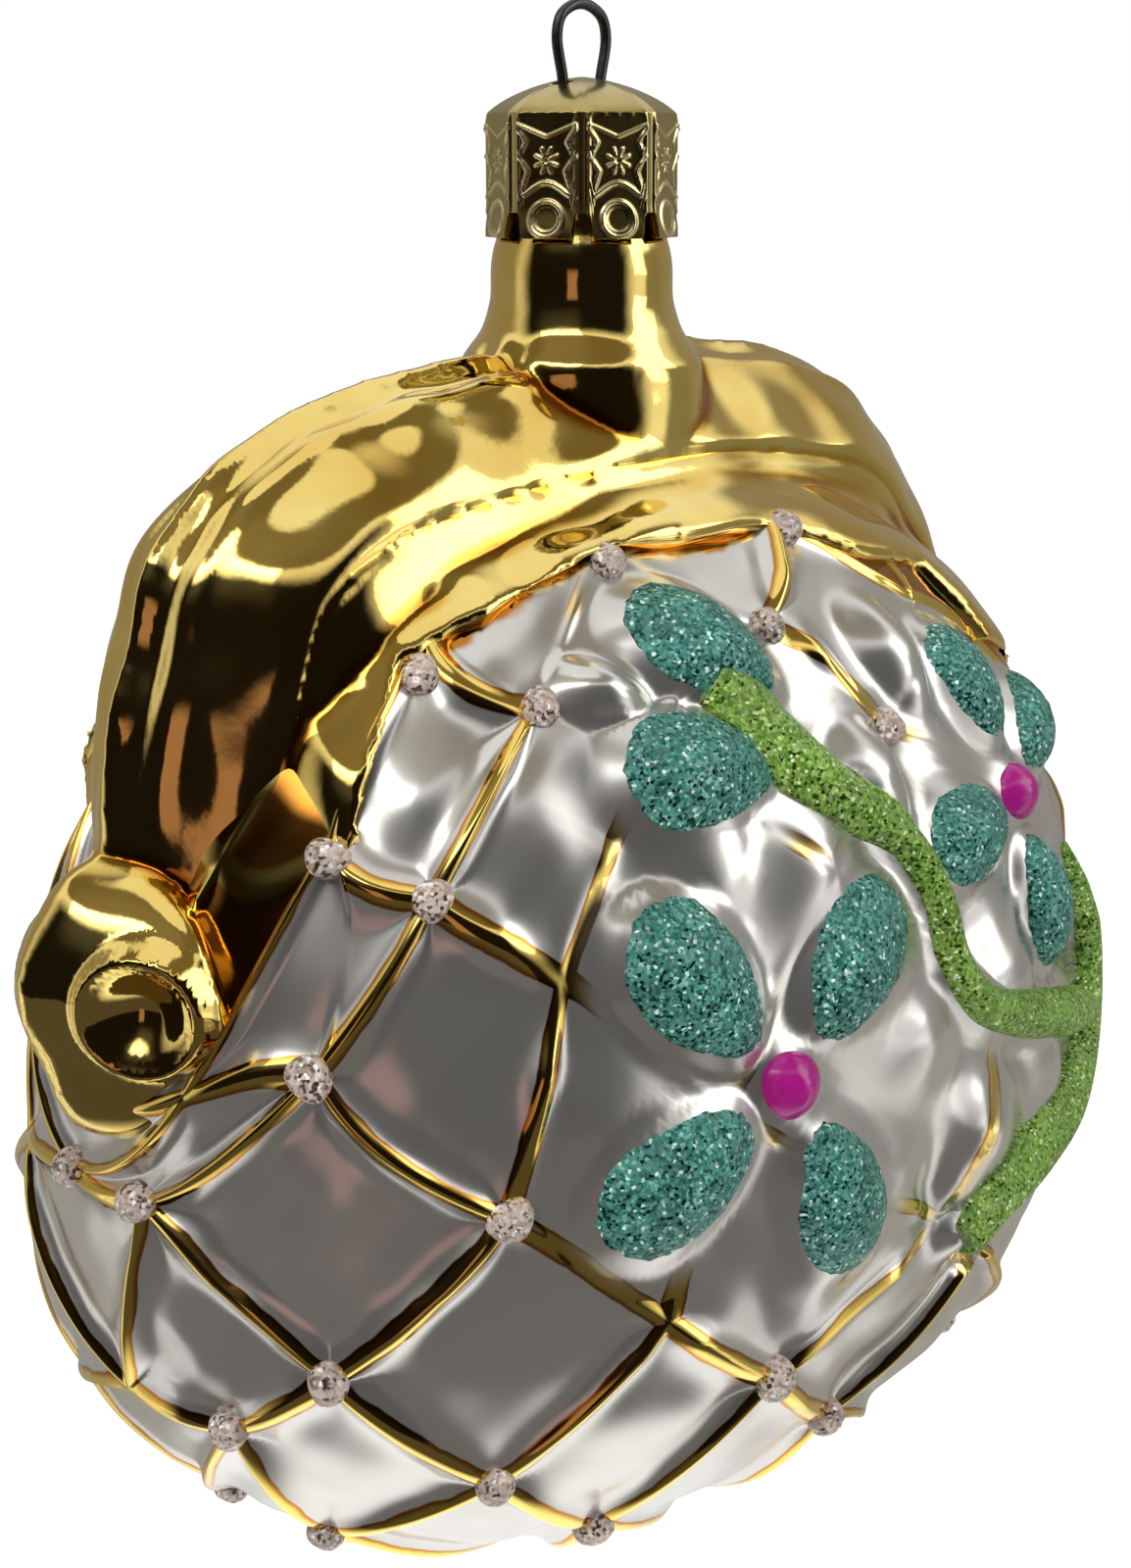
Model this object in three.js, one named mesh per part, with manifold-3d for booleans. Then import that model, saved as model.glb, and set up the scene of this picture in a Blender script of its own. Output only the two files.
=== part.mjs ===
// A blown glass tree ornament shaped as a quilted coin purse, with its cap and wire hanger.
// Millimetres, +Z up. The origin is where it hangs: inside the top of the wire loop, on the neck's axis.
// X runs from hinge to hinge, and the flower spray faces -Y.
import * as THREE from 'three';
import { mergeVertices } from 'three/addons/utils/BufferGeometryUtils.js';
import Module from 'manifold-3d';

const wasm = await Module();
wasm.setup();

// Wire hanger, one bent hairpin in the XZ plane
const wireDiameter = 0.85;
const loopHalfWidth = 2.65;
const loopHeight = 4.9;
const legHalfSpacing = 1.95;
const legLength = 19;
const legSplay = 4.4;
const wireSides = 8;

// Stamped cap, an eight-sided crown with a notched skirt
const capSides = 8;
const capCornerRadius = 7.5;
const capDomeHeight = 2.7;
const capSkirtHeight = 9.2;
const capFlare = 0.35;
const capSheet = 0.3;
const capHoleDiameter = 2.2;
const notchWidth = 1.3;
const notchHeight = 1.9;
const cornerRibWidth = 0.4;
const tabRingRadius = 1.3;
const tabRingThickness = 0.32;

// Glass neck
const neckClearance = 0.33;
const neckWall = 0.8;
const neckMouthGap = 0.5;
const neckSwellRadius = 7.15;
const neckFootRadius = 9.6;
const neckSides = 20;

// Purse frame, moulded in the same glass
const frameDrop = 25.3;
const lipReach = 13.4;
const frameWall = 0.9;
const creaseDepth = 8.2;
const creaseReach = 10.7;
const lipDepth = 11.8;
const lipRound = 2.2;
const hingeInset = 3.0;
const hingeDown = 40.7;
const archEndOut = 3.4;
const archEndDrop = 3.0;
const hingeHalfWidth = 8.4;
const hingeHalfDepth = 10.8;
const hingeHalfHeight = 9.4;
const hingeRoundness = 1.65;
const rivetLean = 30;
const rivetRadius = 3.9;
const rivetRise = 0.8;
const dimpleRadius = 2.5;
const dimpleDepth = 1.3;

// Quilted bag, moulded in the same glass
const bagHalfWidth = 49;
const bagHalfDepth = 34.8;
const bagEquatorDrop = 84.5;
const bagTuck = 8.2;
const bagFall = 35;
const planRoundness = 2.3;
const fallRoundness = 2.46;
const riseRoundnessAcross = 2.4;
const riseRoundnessDeep = 2.0;
const glassWall = 0.55;
const hollowSlack = 0.3;

// Quilting: two sets of slanting ribs that cross in diamonds, and the panels between them
const diamondsAround = 11;
const latticePhase = 5;
const latticeSlip = -25;
const slipCentre = 15;
const slipReach = 75;
const ribFoot = 0.13;
const panelDepth = 0.9;
const panelCrown = 0.3;
const lineBelowHinge = 7.5;
const lineSteepness = 6;
const freeRow = 4;
const freeRowTurn = 11;
const rowTurn = 19.2;
const rowCrowding = 1.3;
const hiddenRows = 3;
const lastRow = 8;
const petalCover = 9;
const stemCover = 5;
const coverFade = 4;
const firstCoverRatio = -0.35;

// The mould was cut by hand, so these crossings lie off the even grid: row, column, degrees round, share up
const crossingShifts = [
  [-2, -2, 3.7, 0], [-2, 0, 6.3, 0], [-2, 2, 4.8, 0], [-1, -3, 4, 0.064],
  [-1, -1, 12.4, -0.018], [-1, 1, 15.7, -0.032], [-1, 3, 5.5, -0.05], [0, -4, -2.4, -0.052],
  [0, -2, 13.9, -0.05], [0, 0, 18.4, -0.138], [0, 2, 15.4, -0.162], [0, 4, 3, -0.03],
  [1, -3, 7.9, 0.003], [1, -1, 9.7, -0.052], [1, 1, 6.9, -0.125], [1, 3, 5.2, -0.055],
  [2, -4, -1.2, -0.02], [2, -2, 6.2, -0.01], [2, 0, 4.4, -0.032], [2, 2, 3, -0.037],
  [3, -5, -6.5, 0.069], [3, -3, 7.5, -0.011], [4, -6, 4.3, -0.168], [4, -2, 2.4, 0.046],
  [5, -5, 2.8, 0.15], [5, -3, 0, 0.038], [5, -1, -1.9, 0.127], [5, 1, -10, 0.19],
  [6, -4, -9.2, 0.08], [6, -2, -5.2, 0.058], [6, 0, -8.7, 0.162],
];

// Glitter dots at the crossings; those beside the frame sit a little further down the bag
const edgeDotDrop = 0.2;
const dotRadius = 1.6;
const dotHeight = 1.25;

// Flower spray: raised glass lobes, and the coats laid over them
const seatGap = 0.3;
const coatThickness = 0.7;
const lobeHeight = 2.0;
const petalLength = 13.2;
const petalWidth = 8.8;
const petalReach = 10.8;
const plainLobeLength = 9.5;
const plainLobeWidth = 6;
const centreRadius = 2.6;
const centreHeight = 1.9;
const stemRadius = 1.75;
const stemLift = 0.6;
const calyxLength = 7.6;
const calyxWidth = 5.8;
const calyxRise = 1.6;

const capApexZ = -loopHeight;
const capShoulderZ = capApexZ - capDomeHeight;
const capFootZ = capShoulderZ - capSkirtHeight;
const capFlatRadius = capCornerRadius * Math.cos(Math.PI / capSides);
const neckRadius = capFlatRadius - capSheet - neckClearance;
const boreRadius = neckRadius - neckWall;
const mouthZ = capShoulderZ - capSheet - neckMouthGap;
const hingeAcross = bagHalfWidth - hingeInset;
const hingeZ = -frameDrop - hingeDown;
const bagRise = bagEquatorDrop - frameDrop - bagTuck;
const bagLineZ = -frameDrop - lipDepth;
const equatorZ = -bagEquatorDrop;
const latticeColumns = 2 * diamondsAround;
const columnStep = 360 / latticeColumns;

const radians = THREE.MathUtils.degToRad;

// Solids for cutting and joining

function toSolid(geometry) {
  const bare = geometry.clone();
  bare.deleteAttribute('normal');
  bare.deleteAttribute('uv');
  const merged = mergeVertices(bare, 1e-5);
  const vertProperties = new Float32Array(merged.attributes.position.array);
  const triVerts = new Uint32Array(merged.index.array);
  return new wasm.Manifold(new wasm.Mesh({ numProp: 3, vertProperties, triVerts }));
}

function toGeometry(solid) {
  const mesh = solid.getMesh();
  const geometry = new THREE.BufferGeometry();
  geometry.setAttribute('position', new THREE.BufferAttribute(new Float32Array(mesh.vertProperties), 3));
  geometry.setIndex(new THREE.BufferAttribute(new Uint32Array(mesh.triVerts), 1));
  const flat = geometry.toNonIndexed();
  flat.computeVertexNormals();
  return flat;
}

function join(solids) {
  return solids.reduce((whole, next) => whole.add(next));
}

// Joining and hollowing can leave pinhead pockets and crumbs inside: only the body itself is kept
function withoutPockets(solid) {
  return solid.decompose().sort((one, other) => other.volume() - one.volume())[0];
}

function surfaceFrom(points, faces) {
  const geometry = new THREE.BufferGeometry();
  geometry.setAttribute('position', new THREE.Float32BufferAttribute(points.flat(), 3));
  geometry.setIndex(faces.flat());
  return geometry;
}

// Pairs of radius and height turned about the vertical axis
function revolve(profile, sides) {
  const outline = profile.map(([radius, height]) => new THREE.Vector2(radius, height));
  return new THREE.LatheGeometry(outline, sides).rotateX(Math.PI / 2);
}

// The bag's smooth form: turn is degrees round from the front, ratio is -1 at the foot and 1 at the top

function signedPower(value, power) {
  return Math.sign(value) * Math.abs(value) ** power;
}

function fullness(ratio, roundness) {
  return (1 - Math.min(1, Math.abs(ratio)) ** roundness) ** (1 / roundness);
}

function bagPoint(turn, ratio, lift = 0) {
  const angle = radians(turn);
  const across = fullness(ratio, ratio < 0 ? fallRoundness : riseRoundnessAcross);
  const deep = fullness(ratio, ratio < 0 ? fallRoundness : riseRoundnessDeep);
  const height = (ratio < 0 ? bagFall : bagRise) + lift;
  return [
    (bagHalfWidth + lift) * across * signedPower(Math.sin(angle), 2 / planRoundness),
    -(bagHalfDepth + lift) * deep * signedPower(Math.cos(angle), 2 / planRoundness),
    equatorZ + height * ratio,
  ];
}

function ratioAt(z) {
  return (z - equatorZ) / (z < equatorZ ? bagFall : bagRise);
}

// A point of the bag's front as seen square on, from its place across and its height
function frontPoint(x, z, lift = 0) {
  const ratio = ratioAt(z);
  const across = fullness(ratio, ratio < 0 ? fallRoundness : riseRoundnessAcross) * bagHalfWidth;
  const side = Math.min(1, Math.abs(x) / across) ** (planRoundness / 2);
  const turn = Math.sign(x) * THREE.MathUtils.radToDeg(Math.asin(side));
  return new THREE.Vector3(...bagPoint(turn, ratio, lift));
}

// Directions on the front at a point: to the right, upwards and straight out of the glass
function frontAxes(x, z) {
  const step = 0.5;
  const right = frontPoint(x + step, z).sub(frontPoint(x - step, z)).normalize();
  const rise = frontPoint(x, z + step).sub(frontPoint(x, z - step)).normalize();
  const out = new THREE.Vector3().crossVectors(right, rise).normalize();
  const up = new THREE.Vector3().crossVectors(out, right).normalize();
  return { right, up, out };
}

// The quilting's own grid: rows run down from the bag line, columns run round

function frameEdgeZ(turn) {
  const fall = bagLineZ - (hingeZ - lineBelowHinge);
  return bagLineZ - fall * Math.abs(Math.sin(radians(turn))) ** lineSteepness;
}

function wrapTurn(turn) {
  return THREE.MathUtils.euclideanModulo(turn + 180, 360) - 180;
}

// How far the hand-cut crossings pull the grid: full at each one, none at its neighbours
function crossingPull(row, column) {
  const pull = { turn: 0, ratio: 0 };
  for (const [atRow, atColumn, turn, ratio] of crossingShifts) {
    const half = latticeColumns / 2;
    const round = THREE.MathUtils.euclideanModulo(column - atColumn + half, latticeColumns) - half;
    const offA = Math.abs(row - atRow + round) / 2;
    const offB = Math.abs(row - atRow - round) / 2;
    const share = Math.max(0, 1 - offA) * Math.max(0, 1 - offB);
    pull.turn += share * turn;
    pull.ratio += share * ratio;
  }
  return pull;
}

function latticePlace(row, column) {
  const even = evenPlace(row, column);
  const pull = crossingPull(row, column);
  return { turn: even.turn + pull.turn, ratio: THREE.MathUtils.clamp(even.ratio + pull.ratio, -1, 1) };
}

function evenPlace(row, column) {
  const turn = latticePhase + columnStep * column;
  const lowest = -Math.sin(radians(freeRowTurn + rowTurn * (Math.max(row, freeRow) - freeRow)));
  if (row >= lastRow) return { turn, ratio: -1 };
  if (row >= freeRow) return { turn, ratio: lowest };
  const wrapped = wrapTurn(turn);
  const slip = latticeSlip * Math.max(0, 1 - ((wrapped - slipCentre) / slipReach) ** 4);
  const pull = row > 0 ? 1 - (row / freeRow) ** rowCrowding : 1;
  const freeZ = equatorZ + lowest * bagFall;
  const lineZ = frameEdgeZ(wrapped + slip);
  const ratio = ratioAt(freeZ + pull * (lineZ - freeZ));
  const hidden = row < 0 ? -row / hiddenRows : 0;
  return { turn: turn + slip * pull, ratio: ratio + (1 - ratio) * hidden };
}

// Places on the front that the spray covers, where the ribs fade out: 1 is right under it
function sprayCover(turn, ratio) {
  if (Math.abs(wrapTurn(turn)) > 90 || ratio < firstCoverRatio) return 0;
  const [x, , z] = bagPoint(turn, ratio);
  const clear = ([placeX, placeZ], reach) => Math.hypot(x - placeX, z - placeZ) - reach;
  const gaps = [
    ...[...petalPlaces, ...plainLobes].map((place) => clear([place.x, place.z], petalCover)),
    ...[...budStem, ...flowerStem].map((place) => clear(place, stemCover)),
  ];
  return THREE.MathUtils.clamp(1 - Math.min(...gaps) / coverFade, 0, 1);
}

function quiltLift(row, column, place) {
  const slantA = (row + column) / 2;
  const slantB = (row - column) / 2;
  const offA = Math.abs(slantA - Math.round(slantA));
  const offB = Math.abs(slantB - Math.round(slantB));
  const fromRib = Math.min(offA, offB);
  const fall = THREE.MathUtils.smoothstep(fromRib, 0, ribFoot);
  const crown = panelCrown * THREE.MathUtils.smoothstep(fromRib, ribFoot, 0.5);
  const quilt = -panelDepth * fall + crown;
  const cover = row >= lastRow - 1 || row < -1 ? 1 : sprayCover(place.turn, place.ratio);
  return quilt * (1 - cover) - 0.5 * panelDepth * cover;
}

function bagSurface(extraLift) {
  const points = [];
  const faces = [];
  const seen = new Map();
  function vertex(row, column) {
    const wrapped = THREE.MathUtils.euclideanModulo(column, latticeColumns);
    const key = `${row.toFixed(4)} ${(wrapped % latticeColumns).toFixed(4)}`;
    if (!seen.has(key)) {
      const place = latticePlace(row, wrapped);
      seen.set(key, points.length);
      points.push(bagPoint(place.turn, place.ratio, quiltLift(row, wrapped, place) + extraLift));
    }
    return seen.get(key);
  }
  const steps = [0, ribFoot, 1 - ribFoot, 1];
  function face(a, b, c) {
    faces.push([a, b, c]);
  }
  function quad(a, b, c, d) {
    face(a, b, c);
    face(a, c, d);
  }
  // Diamonds, row by row: half of each rib along every side, and a crowned panel in the middle
  const firstBand = -1;
  const lastBand = lastRow - 3;
  for (let band = firstBand; band <= lastBand; band++) {
    for (let i = 0; i < diamondsAround; i++) {
      const slantA = i;
      const slantB = band - i;
      const corner = (s, t) => vertex(slantA + s + slantB + t, slantA + s - slantB - t);
      for (let m = 0; m + 1 < steps.length; m++) {
        for (let n = 0; n + 1 < steps.length; n++) {
          const loop = [
            corner(steps[m], steps[n]),
            corner(steps[m], steps[n + 1]),
            corner(steps[m + 1], steps[n + 1]),
            corner(steps[m + 1], steps[n]),
          ];
          const panel = m === 1 && n === 1;
          if (panel) loop.forEach((from, k) => face(from, loop[(k + 1) % 4], corner(0.5, 0.5)));
          else quad(...loop);
        }
      }
    }
  }
  // Zigzag borders are closed with rings that run to the foot and to the hidden top
  function closeEnd(tipRow, startRow, endRow, rings, flip) {
    const border = [];
    for (let i = 0; i < diamondsAround; i++) {
      const column = 2 * i + (Math.abs(startRow) % 2);
      for (const step of steps.slice(0, -1)) {
        border.push([startRow + (endRow - startRow) * step, column + step]);
      }
      for (const step of steps.slice(0, -1)) {
        border.push([endRow + (startRow - endRow) * step, column + 1 + step]);
      }
    }
    const count = border.length;
    for (let ring = 0; ring < rings; ring++) {
      const rowAt = (k, level) => border[k % count][0] + (tipRow - border[k % count][0]) * (level / rings);
      const at = (k, level) => vertex(rowAt(k, level), border[k % count][1]);
      for (let k = 0; k < count; k++) {
        if (ring === rings - 1) {
          const tip = vertex(tipRow, 0);
          face(...(flip ? [at(k + 1, ring), at(k, ring), tip] : [at(k, ring), at(k + 1, ring), tip]));
        } else {
          const loop = [at(k, ring), at(k + 1, ring), at(k + 1, ring + 1), at(k, ring + 1)];
          quad(...(flip ? loop.reverse() : loop));
        }
      }
    }
  }
  closeEnd(lastRow, lastRow - 1, lastRow - 2, 2, true);
  closeEnd(-hiddenRows, -1, 0, 5, false);
  return surfaceFrom(points, faces);
}

// A plain closed bag without quilting, used for the hollow
function smoothBag(lift) {
  const geometry = new THREE.SphereGeometry(1, 20, 10);
  const position = geometry.attributes.position;
  for (let i = 0; i < position.count; i++) {
    const ratio = position.getY(i);
    const turn = THREE.MathUtils.radToDeg(Math.atan2(position.getX(i), position.getZ(i)));
    position.setXYZ(i, ...bagPoint(turn, ratio, lift));
  }
  return geometry;
}

// Purse frame: one section swept along the arch from hinge to hinge

function framePath() {
  const top = -frameDrop;
  const endX = hingeAcross + archEndOut;
  const endDrop = hingeDown + archEndDrop;
  const shares = [[0.36, 0.02], [0.63, 0.09], [0.79, 0.26], [0.89, 0.46], [0.96, 0.71], [1, 1]];
  const right = shares.map(([across, down]) => new THREE.Vector3(across * endX, 0, top - down * endDrop));
  const left = right.map(({ x, z }) => new THREE.Vector3(-x, 0, z)).reverse();
  return new THREE.CatmullRomCurve3([...left, new THREE.Vector3(0, 0, top), ...right]);
}

// Section as depth below the seam and reach: a rounded back, a crease, a lip, and a tail in the bag.
// The third number says how much of the inset goes downwards there.
function frameSection(inset) {
  const half = [];
  for (const turn of [0, 22, 45, 68, 90]) {
    const angle = radians(turn);
    half.push([creaseDepth * (1 - Math.cos(angle)), creaseReach * Math.sin(angle), Math.cos(angle)]);
  }
  half.push([lipDepth - lipRound, lipReach - 0.4 * lipRound, 0.5]);
  half.push([lipDepth, lipReach, -0.5]);
  half.push([lipDepth + 1.2 * lipRound, lipReach - 2 * lipRound, -1]);
  const shrunk = half.map(([depth, reach, down]) => [depth + down * inset, Math.max(0, reach - inset)]);
  const back = shrunk.slice(1).reverse().map(([depth, reach]) => [depth, -reach]);
  return [...shrunk, ...back];
}

function sweepFrame(inset, stations) {
  const path = framePath();
  const section = frameSection(inset);
  const points = [];
  const faces = [];
  for (let k = 0; k <= stations; k++) {
    const place = path.getPointAt(k / stations);
    const along = path.getTangentAt(k / stations);
    const inward = new THREE.Vector3(along.z, 0, -along.x);
    for (const [depth, reach] of section) {
      points.push([place.x + inward.x * depth, -reach, place.z + inward.z * depth]);
    }
  }
  const count = section.length;
  for (let k = 0; k < stations; k++) {
    for (let m = 0; m < count; m++) {
      const a = k * count + m;
      const b = k * count + ((m + 1) % count);
      faces.push([a, b, b + count], [a, b + count, a + count]);
    }
  }
  for (const k of [0, stations]) {
    const place = path.getPointAt(k / stations);
    const along = path.getTangentAt(k / stations);
    const middle = points.length;
    points.push([place.x + along.z * creaseDepth, 0, place.z - along.x * creaseDepth]);
    for (let m = 0; m < count; m++) {
      const a = k * count + m;
      const b = k * count + ((m + 1) % count);
      faces.push(k === 0 ? [b, a, middle] : [a, b, middle]);
    }
  }
  return surfaceFrom(points, faces);
}

function outwardSolid(geometry) {
  const solid = toSolid(geometry);
  if (solid.volume() > 0) return solid;
  const index = Array.from(geometry.index.array);
  for (let i = 0; i < index.length; i += 3) [index[i], index[i + 1]] = [index[i + 1], index[i]];
  geometry.setIndex(index);
  return toSolid(geometry);
}

function ellipsoid(halfX, halfY, halfZ, around = 20, rings = 12) {
  const geometry = new THREE.SphereGeometry(1, around, rings);
  geometry.scale(halfX, halfY, halfZ);
  return geometry;
}

// Draws a round outline in towards a diamond's, seen square from the front
function squeezeCorners(geometry, roundness) {
  const position = geometry.attributes.position;
  for (let i = 0; i < position.count; i++) {
    const x = position.getX(i);
    const z = position.getZ(i);
    const outline = (Math.abs(x) ** roundness + Math.abs(z) ** roundness) ** (1 / roundness);
    const share = outline > 0 ? Math.hypot(x, z) / outline : 1;
    position.setXYZ(i, x * share, position.getY(i), z * share);
  }
}

function hingeEnd(side, inset, around = 12) {
  const geometry = ellipsoid(
    hingeHalfWidth - inset,
    hingeHalfDepth - inset,
    hingeHalfHeight - inset,
    around,
    around / 2,
  );
  squeezeCorners(geometry, hingeRoundness);
  geometry.translate(side * hingeAcross, 0, hingeZ);
  return toSolid(geometry);
}

// A round rivet head with a dimple, standing on the hinge end where that faces front or back and outwards
function rivet(side, face) {
  const sunk = 3;
  const bevel = 0.4;
  const profile = [
    [0, -sunk],
    [rivetRadius + bevel, -sunk],
    [rivetRadius + bevel, -2 * bevel],
    [rivetRadius - bevel, rivetRise - bevel],
    [dimpleRadius + 2 * bevel, rivetRise],
    [dimpleRadius, rivetRise - bevel],
    [0.6 * dimpleRadius, rivetRise - 0.8 * dimpleDepth],
    [0, rivetRise - dimpleDepth],
  ];
  const lean = radians(rivetLean);
  const spread = Math.hypot(hingeHalfWidth * Math.sin(lean), hingeHalfDepth * Math.cos(lean));
  const out = hingeHalfWidth ** 2 * Math.sin(lean) / spread;
  const reach = hingeHalfDepth ** 2 * Math.cos(lean) / spread;
  const geometry = revolve(profile, 12);
  geometry.rotateX(-face * Math.PI / 2);
  geometry.rotateZ(-face * side * lean);
  geometry.translate(side * (hingeAcross + out), face * reach, hingeZ);
  return outwardSolid(geometry);
}

function neckOutside() {
  const footZ = -frameDrop;
  return outwardSolid(revolve([
    [0, footZ - 6],
    [neckFootRadius, footZ - 6],
    [neckFootRadius, footZ - 1.0],
    [neckSwellRadius + 0.7, footZ + 1.2],
    [neckSwellRadius, footZ + 3.4],
    [neckSwellRadius, capFootZ - 2.2],
    [neckSwellRadius - 0.25, capFootZ - 0.9],
    [neckRadius, capFootZ + 0.6],
    [neckRadius, mouthZ],
    [0, mouthZ],
  ], neckSides));
}

function neckBore() {
  const footZ = -frameDrop;
  const footRadius = neckFootRadius - 2 * neckWall;
  return outwardSolid(revolve([
    [0, footZ - 12],
    [footRadius, footZ - 12],
    [footRadius, footZ - 3],
    [boreRadius, footZ + 1],
    [boreRadius, mouthZ + 2],
    [0, mouthZ + 2],
  ], neckSides));
}

// The spray as seen square from the front. Places are shares of the bag: across its half width, and up
// from its widest line (or down from it, where they are negative). Angles say the way each petal points.

function onFront(across, ratio) {
  return [across * bagHalfWidth, equatorZ + ratio * (ratio < 0 ? bagFall : bagRise)];
}

function atFront(across, ratio, more) {
  const [x, z] = onFront(across, ratio);
  return { x, z, ...more };
}

const flowerOne = atFront(-0.263, 0.202, {
  size: 1,
  petals: { upper_left: 128, upper_right: 42, lower_left: -155, lower_right: -66 },
});
const flowerTwo = atFront(0.429, 0.473, {
  size: 0.84,
  petals: { upper_left: 105, upper_right: 22, lower_left: -174, lower_right: -80 },
});
const bud = {
  upper: atFront(-0.192, 0.778, { angle: 139, size: 0.95 }),
  lower: atFront(-0.296, 0.631, { angle: 175, size: 0.95 }),
};
const plainLobes = [
  atFront(0.212, 0.722, { angle: 100, size: 1 }),
  atFront(0.049, 0.559, { angle: 105, size: 1 }),
  atFront(-0.386, 0.745, { angle: 160, size: 0.7 }),
];
const calyx = atFront(-0.18, 0.69, { angle: 133 });
const budStem = [
  [-0.17, 0.68], [-0.115, 0.62], [-0.041, 0.549], [0.061, 0.471], [0.106, 0.382], [0.122, 0.294],
  [0.184, 0.216], [0.296, 0.161], [0.449, 0.114], [0.592, 0.069], [0.684, 0.039],
].map((place) => onFront(...place));
const flowerStem = [
  [0.655, 0.284], [0.684, 0.167], [0.684, 0.039], [0.582, -0.1], [0.398, -0.157], [0.224, -0.2],
  [0.153, -0.243],
].map((place) => onFront(...place));

function petalsOf(flower) {
  return Object.entries(flower.petals).map(([name, angle]) => {
    const aim = radians(angle);
    const x = flower.x + flower.size * petalReach * Math.cos(aim);
    const z = flower.z + flower.size * petalReach * Math.sin(aim);
    return { name, x, z, angle, size: flower.size };
  });
}

const petalPlaces = [
  ...petalsOf(flowerOne).map((petal) => ({ ...petal, node: `flower_one_petal_${petal.name}` })),
  ...petalsOf(flowerTwo).map((petal) => ({ ...petal, node: `flower_two_petal_${petal.name}` })),
  { ...bud.upper, node: 'bud_petal_upper' },
  { ...bud.lower, node: 'bud_petal_lower' },
];

// An egg-shaped pad that lies on the front, its long axis turned to the given angle
function lobe(place, length, width, grow) {
  const { right, up, out } = frontAxes(place.x, place.z);
  const aim = radians(place.angle);
  const along = right.clone().multiplyScalar(Math.cos(aim)).addScaledVector(up, Math.sin(aim));
  const side = new THREE.Vector3().crossVectors(out, along);
  const geometry = ellipsoid(length / 2 + grow, width / 2 + grow, lobeHeight + grow, 10, 6);
  geometry.applyMatrix4(new THREE.Matrix4().makeBasis(along, side, out));
  const centre = frontPoint(place.x, place.z, -0.5 * panelDepth);
  geometry.translate(centre.x, centre.y, centre.z);
  return toSolid(geometry);
}

function petalBody(petal, grow) {
  return lobe(petal, petal.size * petalLength, petal.size * petalWidth, grow);
}

// Height of the petals above the quilting at a place on the front
function petalRise(x, z) {
  const rises = petalPlaces.map((petal) => {
    const aim = radians(petal.angle);
    const along = (x - petal.x) * Math.cos(aim) + (z - petal.z) * Math.sin(aim);
    const aside = (z - petal.z) * Math.cos(aim) - (x - petal.x) * Math.sin(aim);
    const longWays = 2 * along / (petal.size * petalLength);
    const sideWays = 2 * aside / (petal.size * petalWidth);
    const fill = 1 - longWays ** 2 - sideWays ** 2;
    return (lobeHeight + coatThickness) * Math.sqrt(Math.max(0, fill));
  });
  return Math.max(...rises);
}

function stemBody(places, grow) {
  const points = places.map(([x, z]) => frontPoint(x, z, stemLift + petalRise(x, z)));
  const curve = new THREE.CatmullRomCurve3(points);
  const circle = new THREE.Shape();
  circle.absarc(0, 0, stemRadius + grow, 0, 2 * Math.PI);
  const geometry = new THREE.ExtrudeGeometry(circle, {
    steps: Math.round(1.4 * places.length),
    curveSegments: 3,
    extrudePath: curve,
  });
  return outwardSolid(geometry);
}

// Both stems, and the calyx that holds the bud's petals together
function stemsBody(grow) {
  const cup = lobe(calyx, calyxLength, calyxWidth, calyxRise + grow);
  return join([cup, stemBody(budStem, grow), stemBody(flowerStem, grow)]);
}

function centreBody(flower, grow) {
  const { out } = frontAxes(flower.x, flower.z);
  const geometry = ellipsoid(centreRadius + grow, centreHeight + grow, centreRadius + grow, 10, 6);
  geometry.applyQuaternion(new THREE.Quaternion().setFromUnitVectors(new THREE.Vector3(0, 1, 0), out));
  const centre = frontPoint(flower.x, flower.z, 0.6);
  geometry.translate(centre.x, centre.y, centre.z);
  return toSolid(geometry);
}

// The glass: one blown wall that is frame, bag and neck together
function glassForm(lift) {
  return join([
    outwardSolid(bagSurface(lift)),
    ...petalPlaces.map((petal) => petalBody(petal, lift)),
    ...plainLobes.map((place) => {
      return lobe(place, place.size * plainLobeLength, place.size * plainLobeWidth, lift);
    }),
  ]);
}

function frameForm(lift) {
  return join([outwardSolid(sweepFrame(-lift, 26)), hingeEnd(-1, -lift), hingeEnd(1, -lift)]);
}

// Blown glass is smooth inside, and nowhere thinner than its wall under the quilting
function bagHollow() {
  const smooth = outwardSolid(smoothBag(-panelDepth - glassWall - hollowSlack));
  return smooth.intersect(outwardSolid(bagSurface(-glassWall)));
}

function glassShell() {
  const rivets = [-1, 1].flatMap((side) => [rivet(side, -1), rivet(side, 1)]);
  const outside = withoutPockets(join([glassForm(0), frameForm(0), ...rivets, neckOutside()]));
  const inside = join([
    bagHollow(),
    outwardSolid(sweepFrame(frameWall, 14)),
    hingeEnd(-1, 3 * frameWall),
    hingeEnd(1, 3 * frameWall),
    neckBore(),
  ]);
  return withoutPockets(outside.subtract(inside));
}

// Cap

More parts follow.
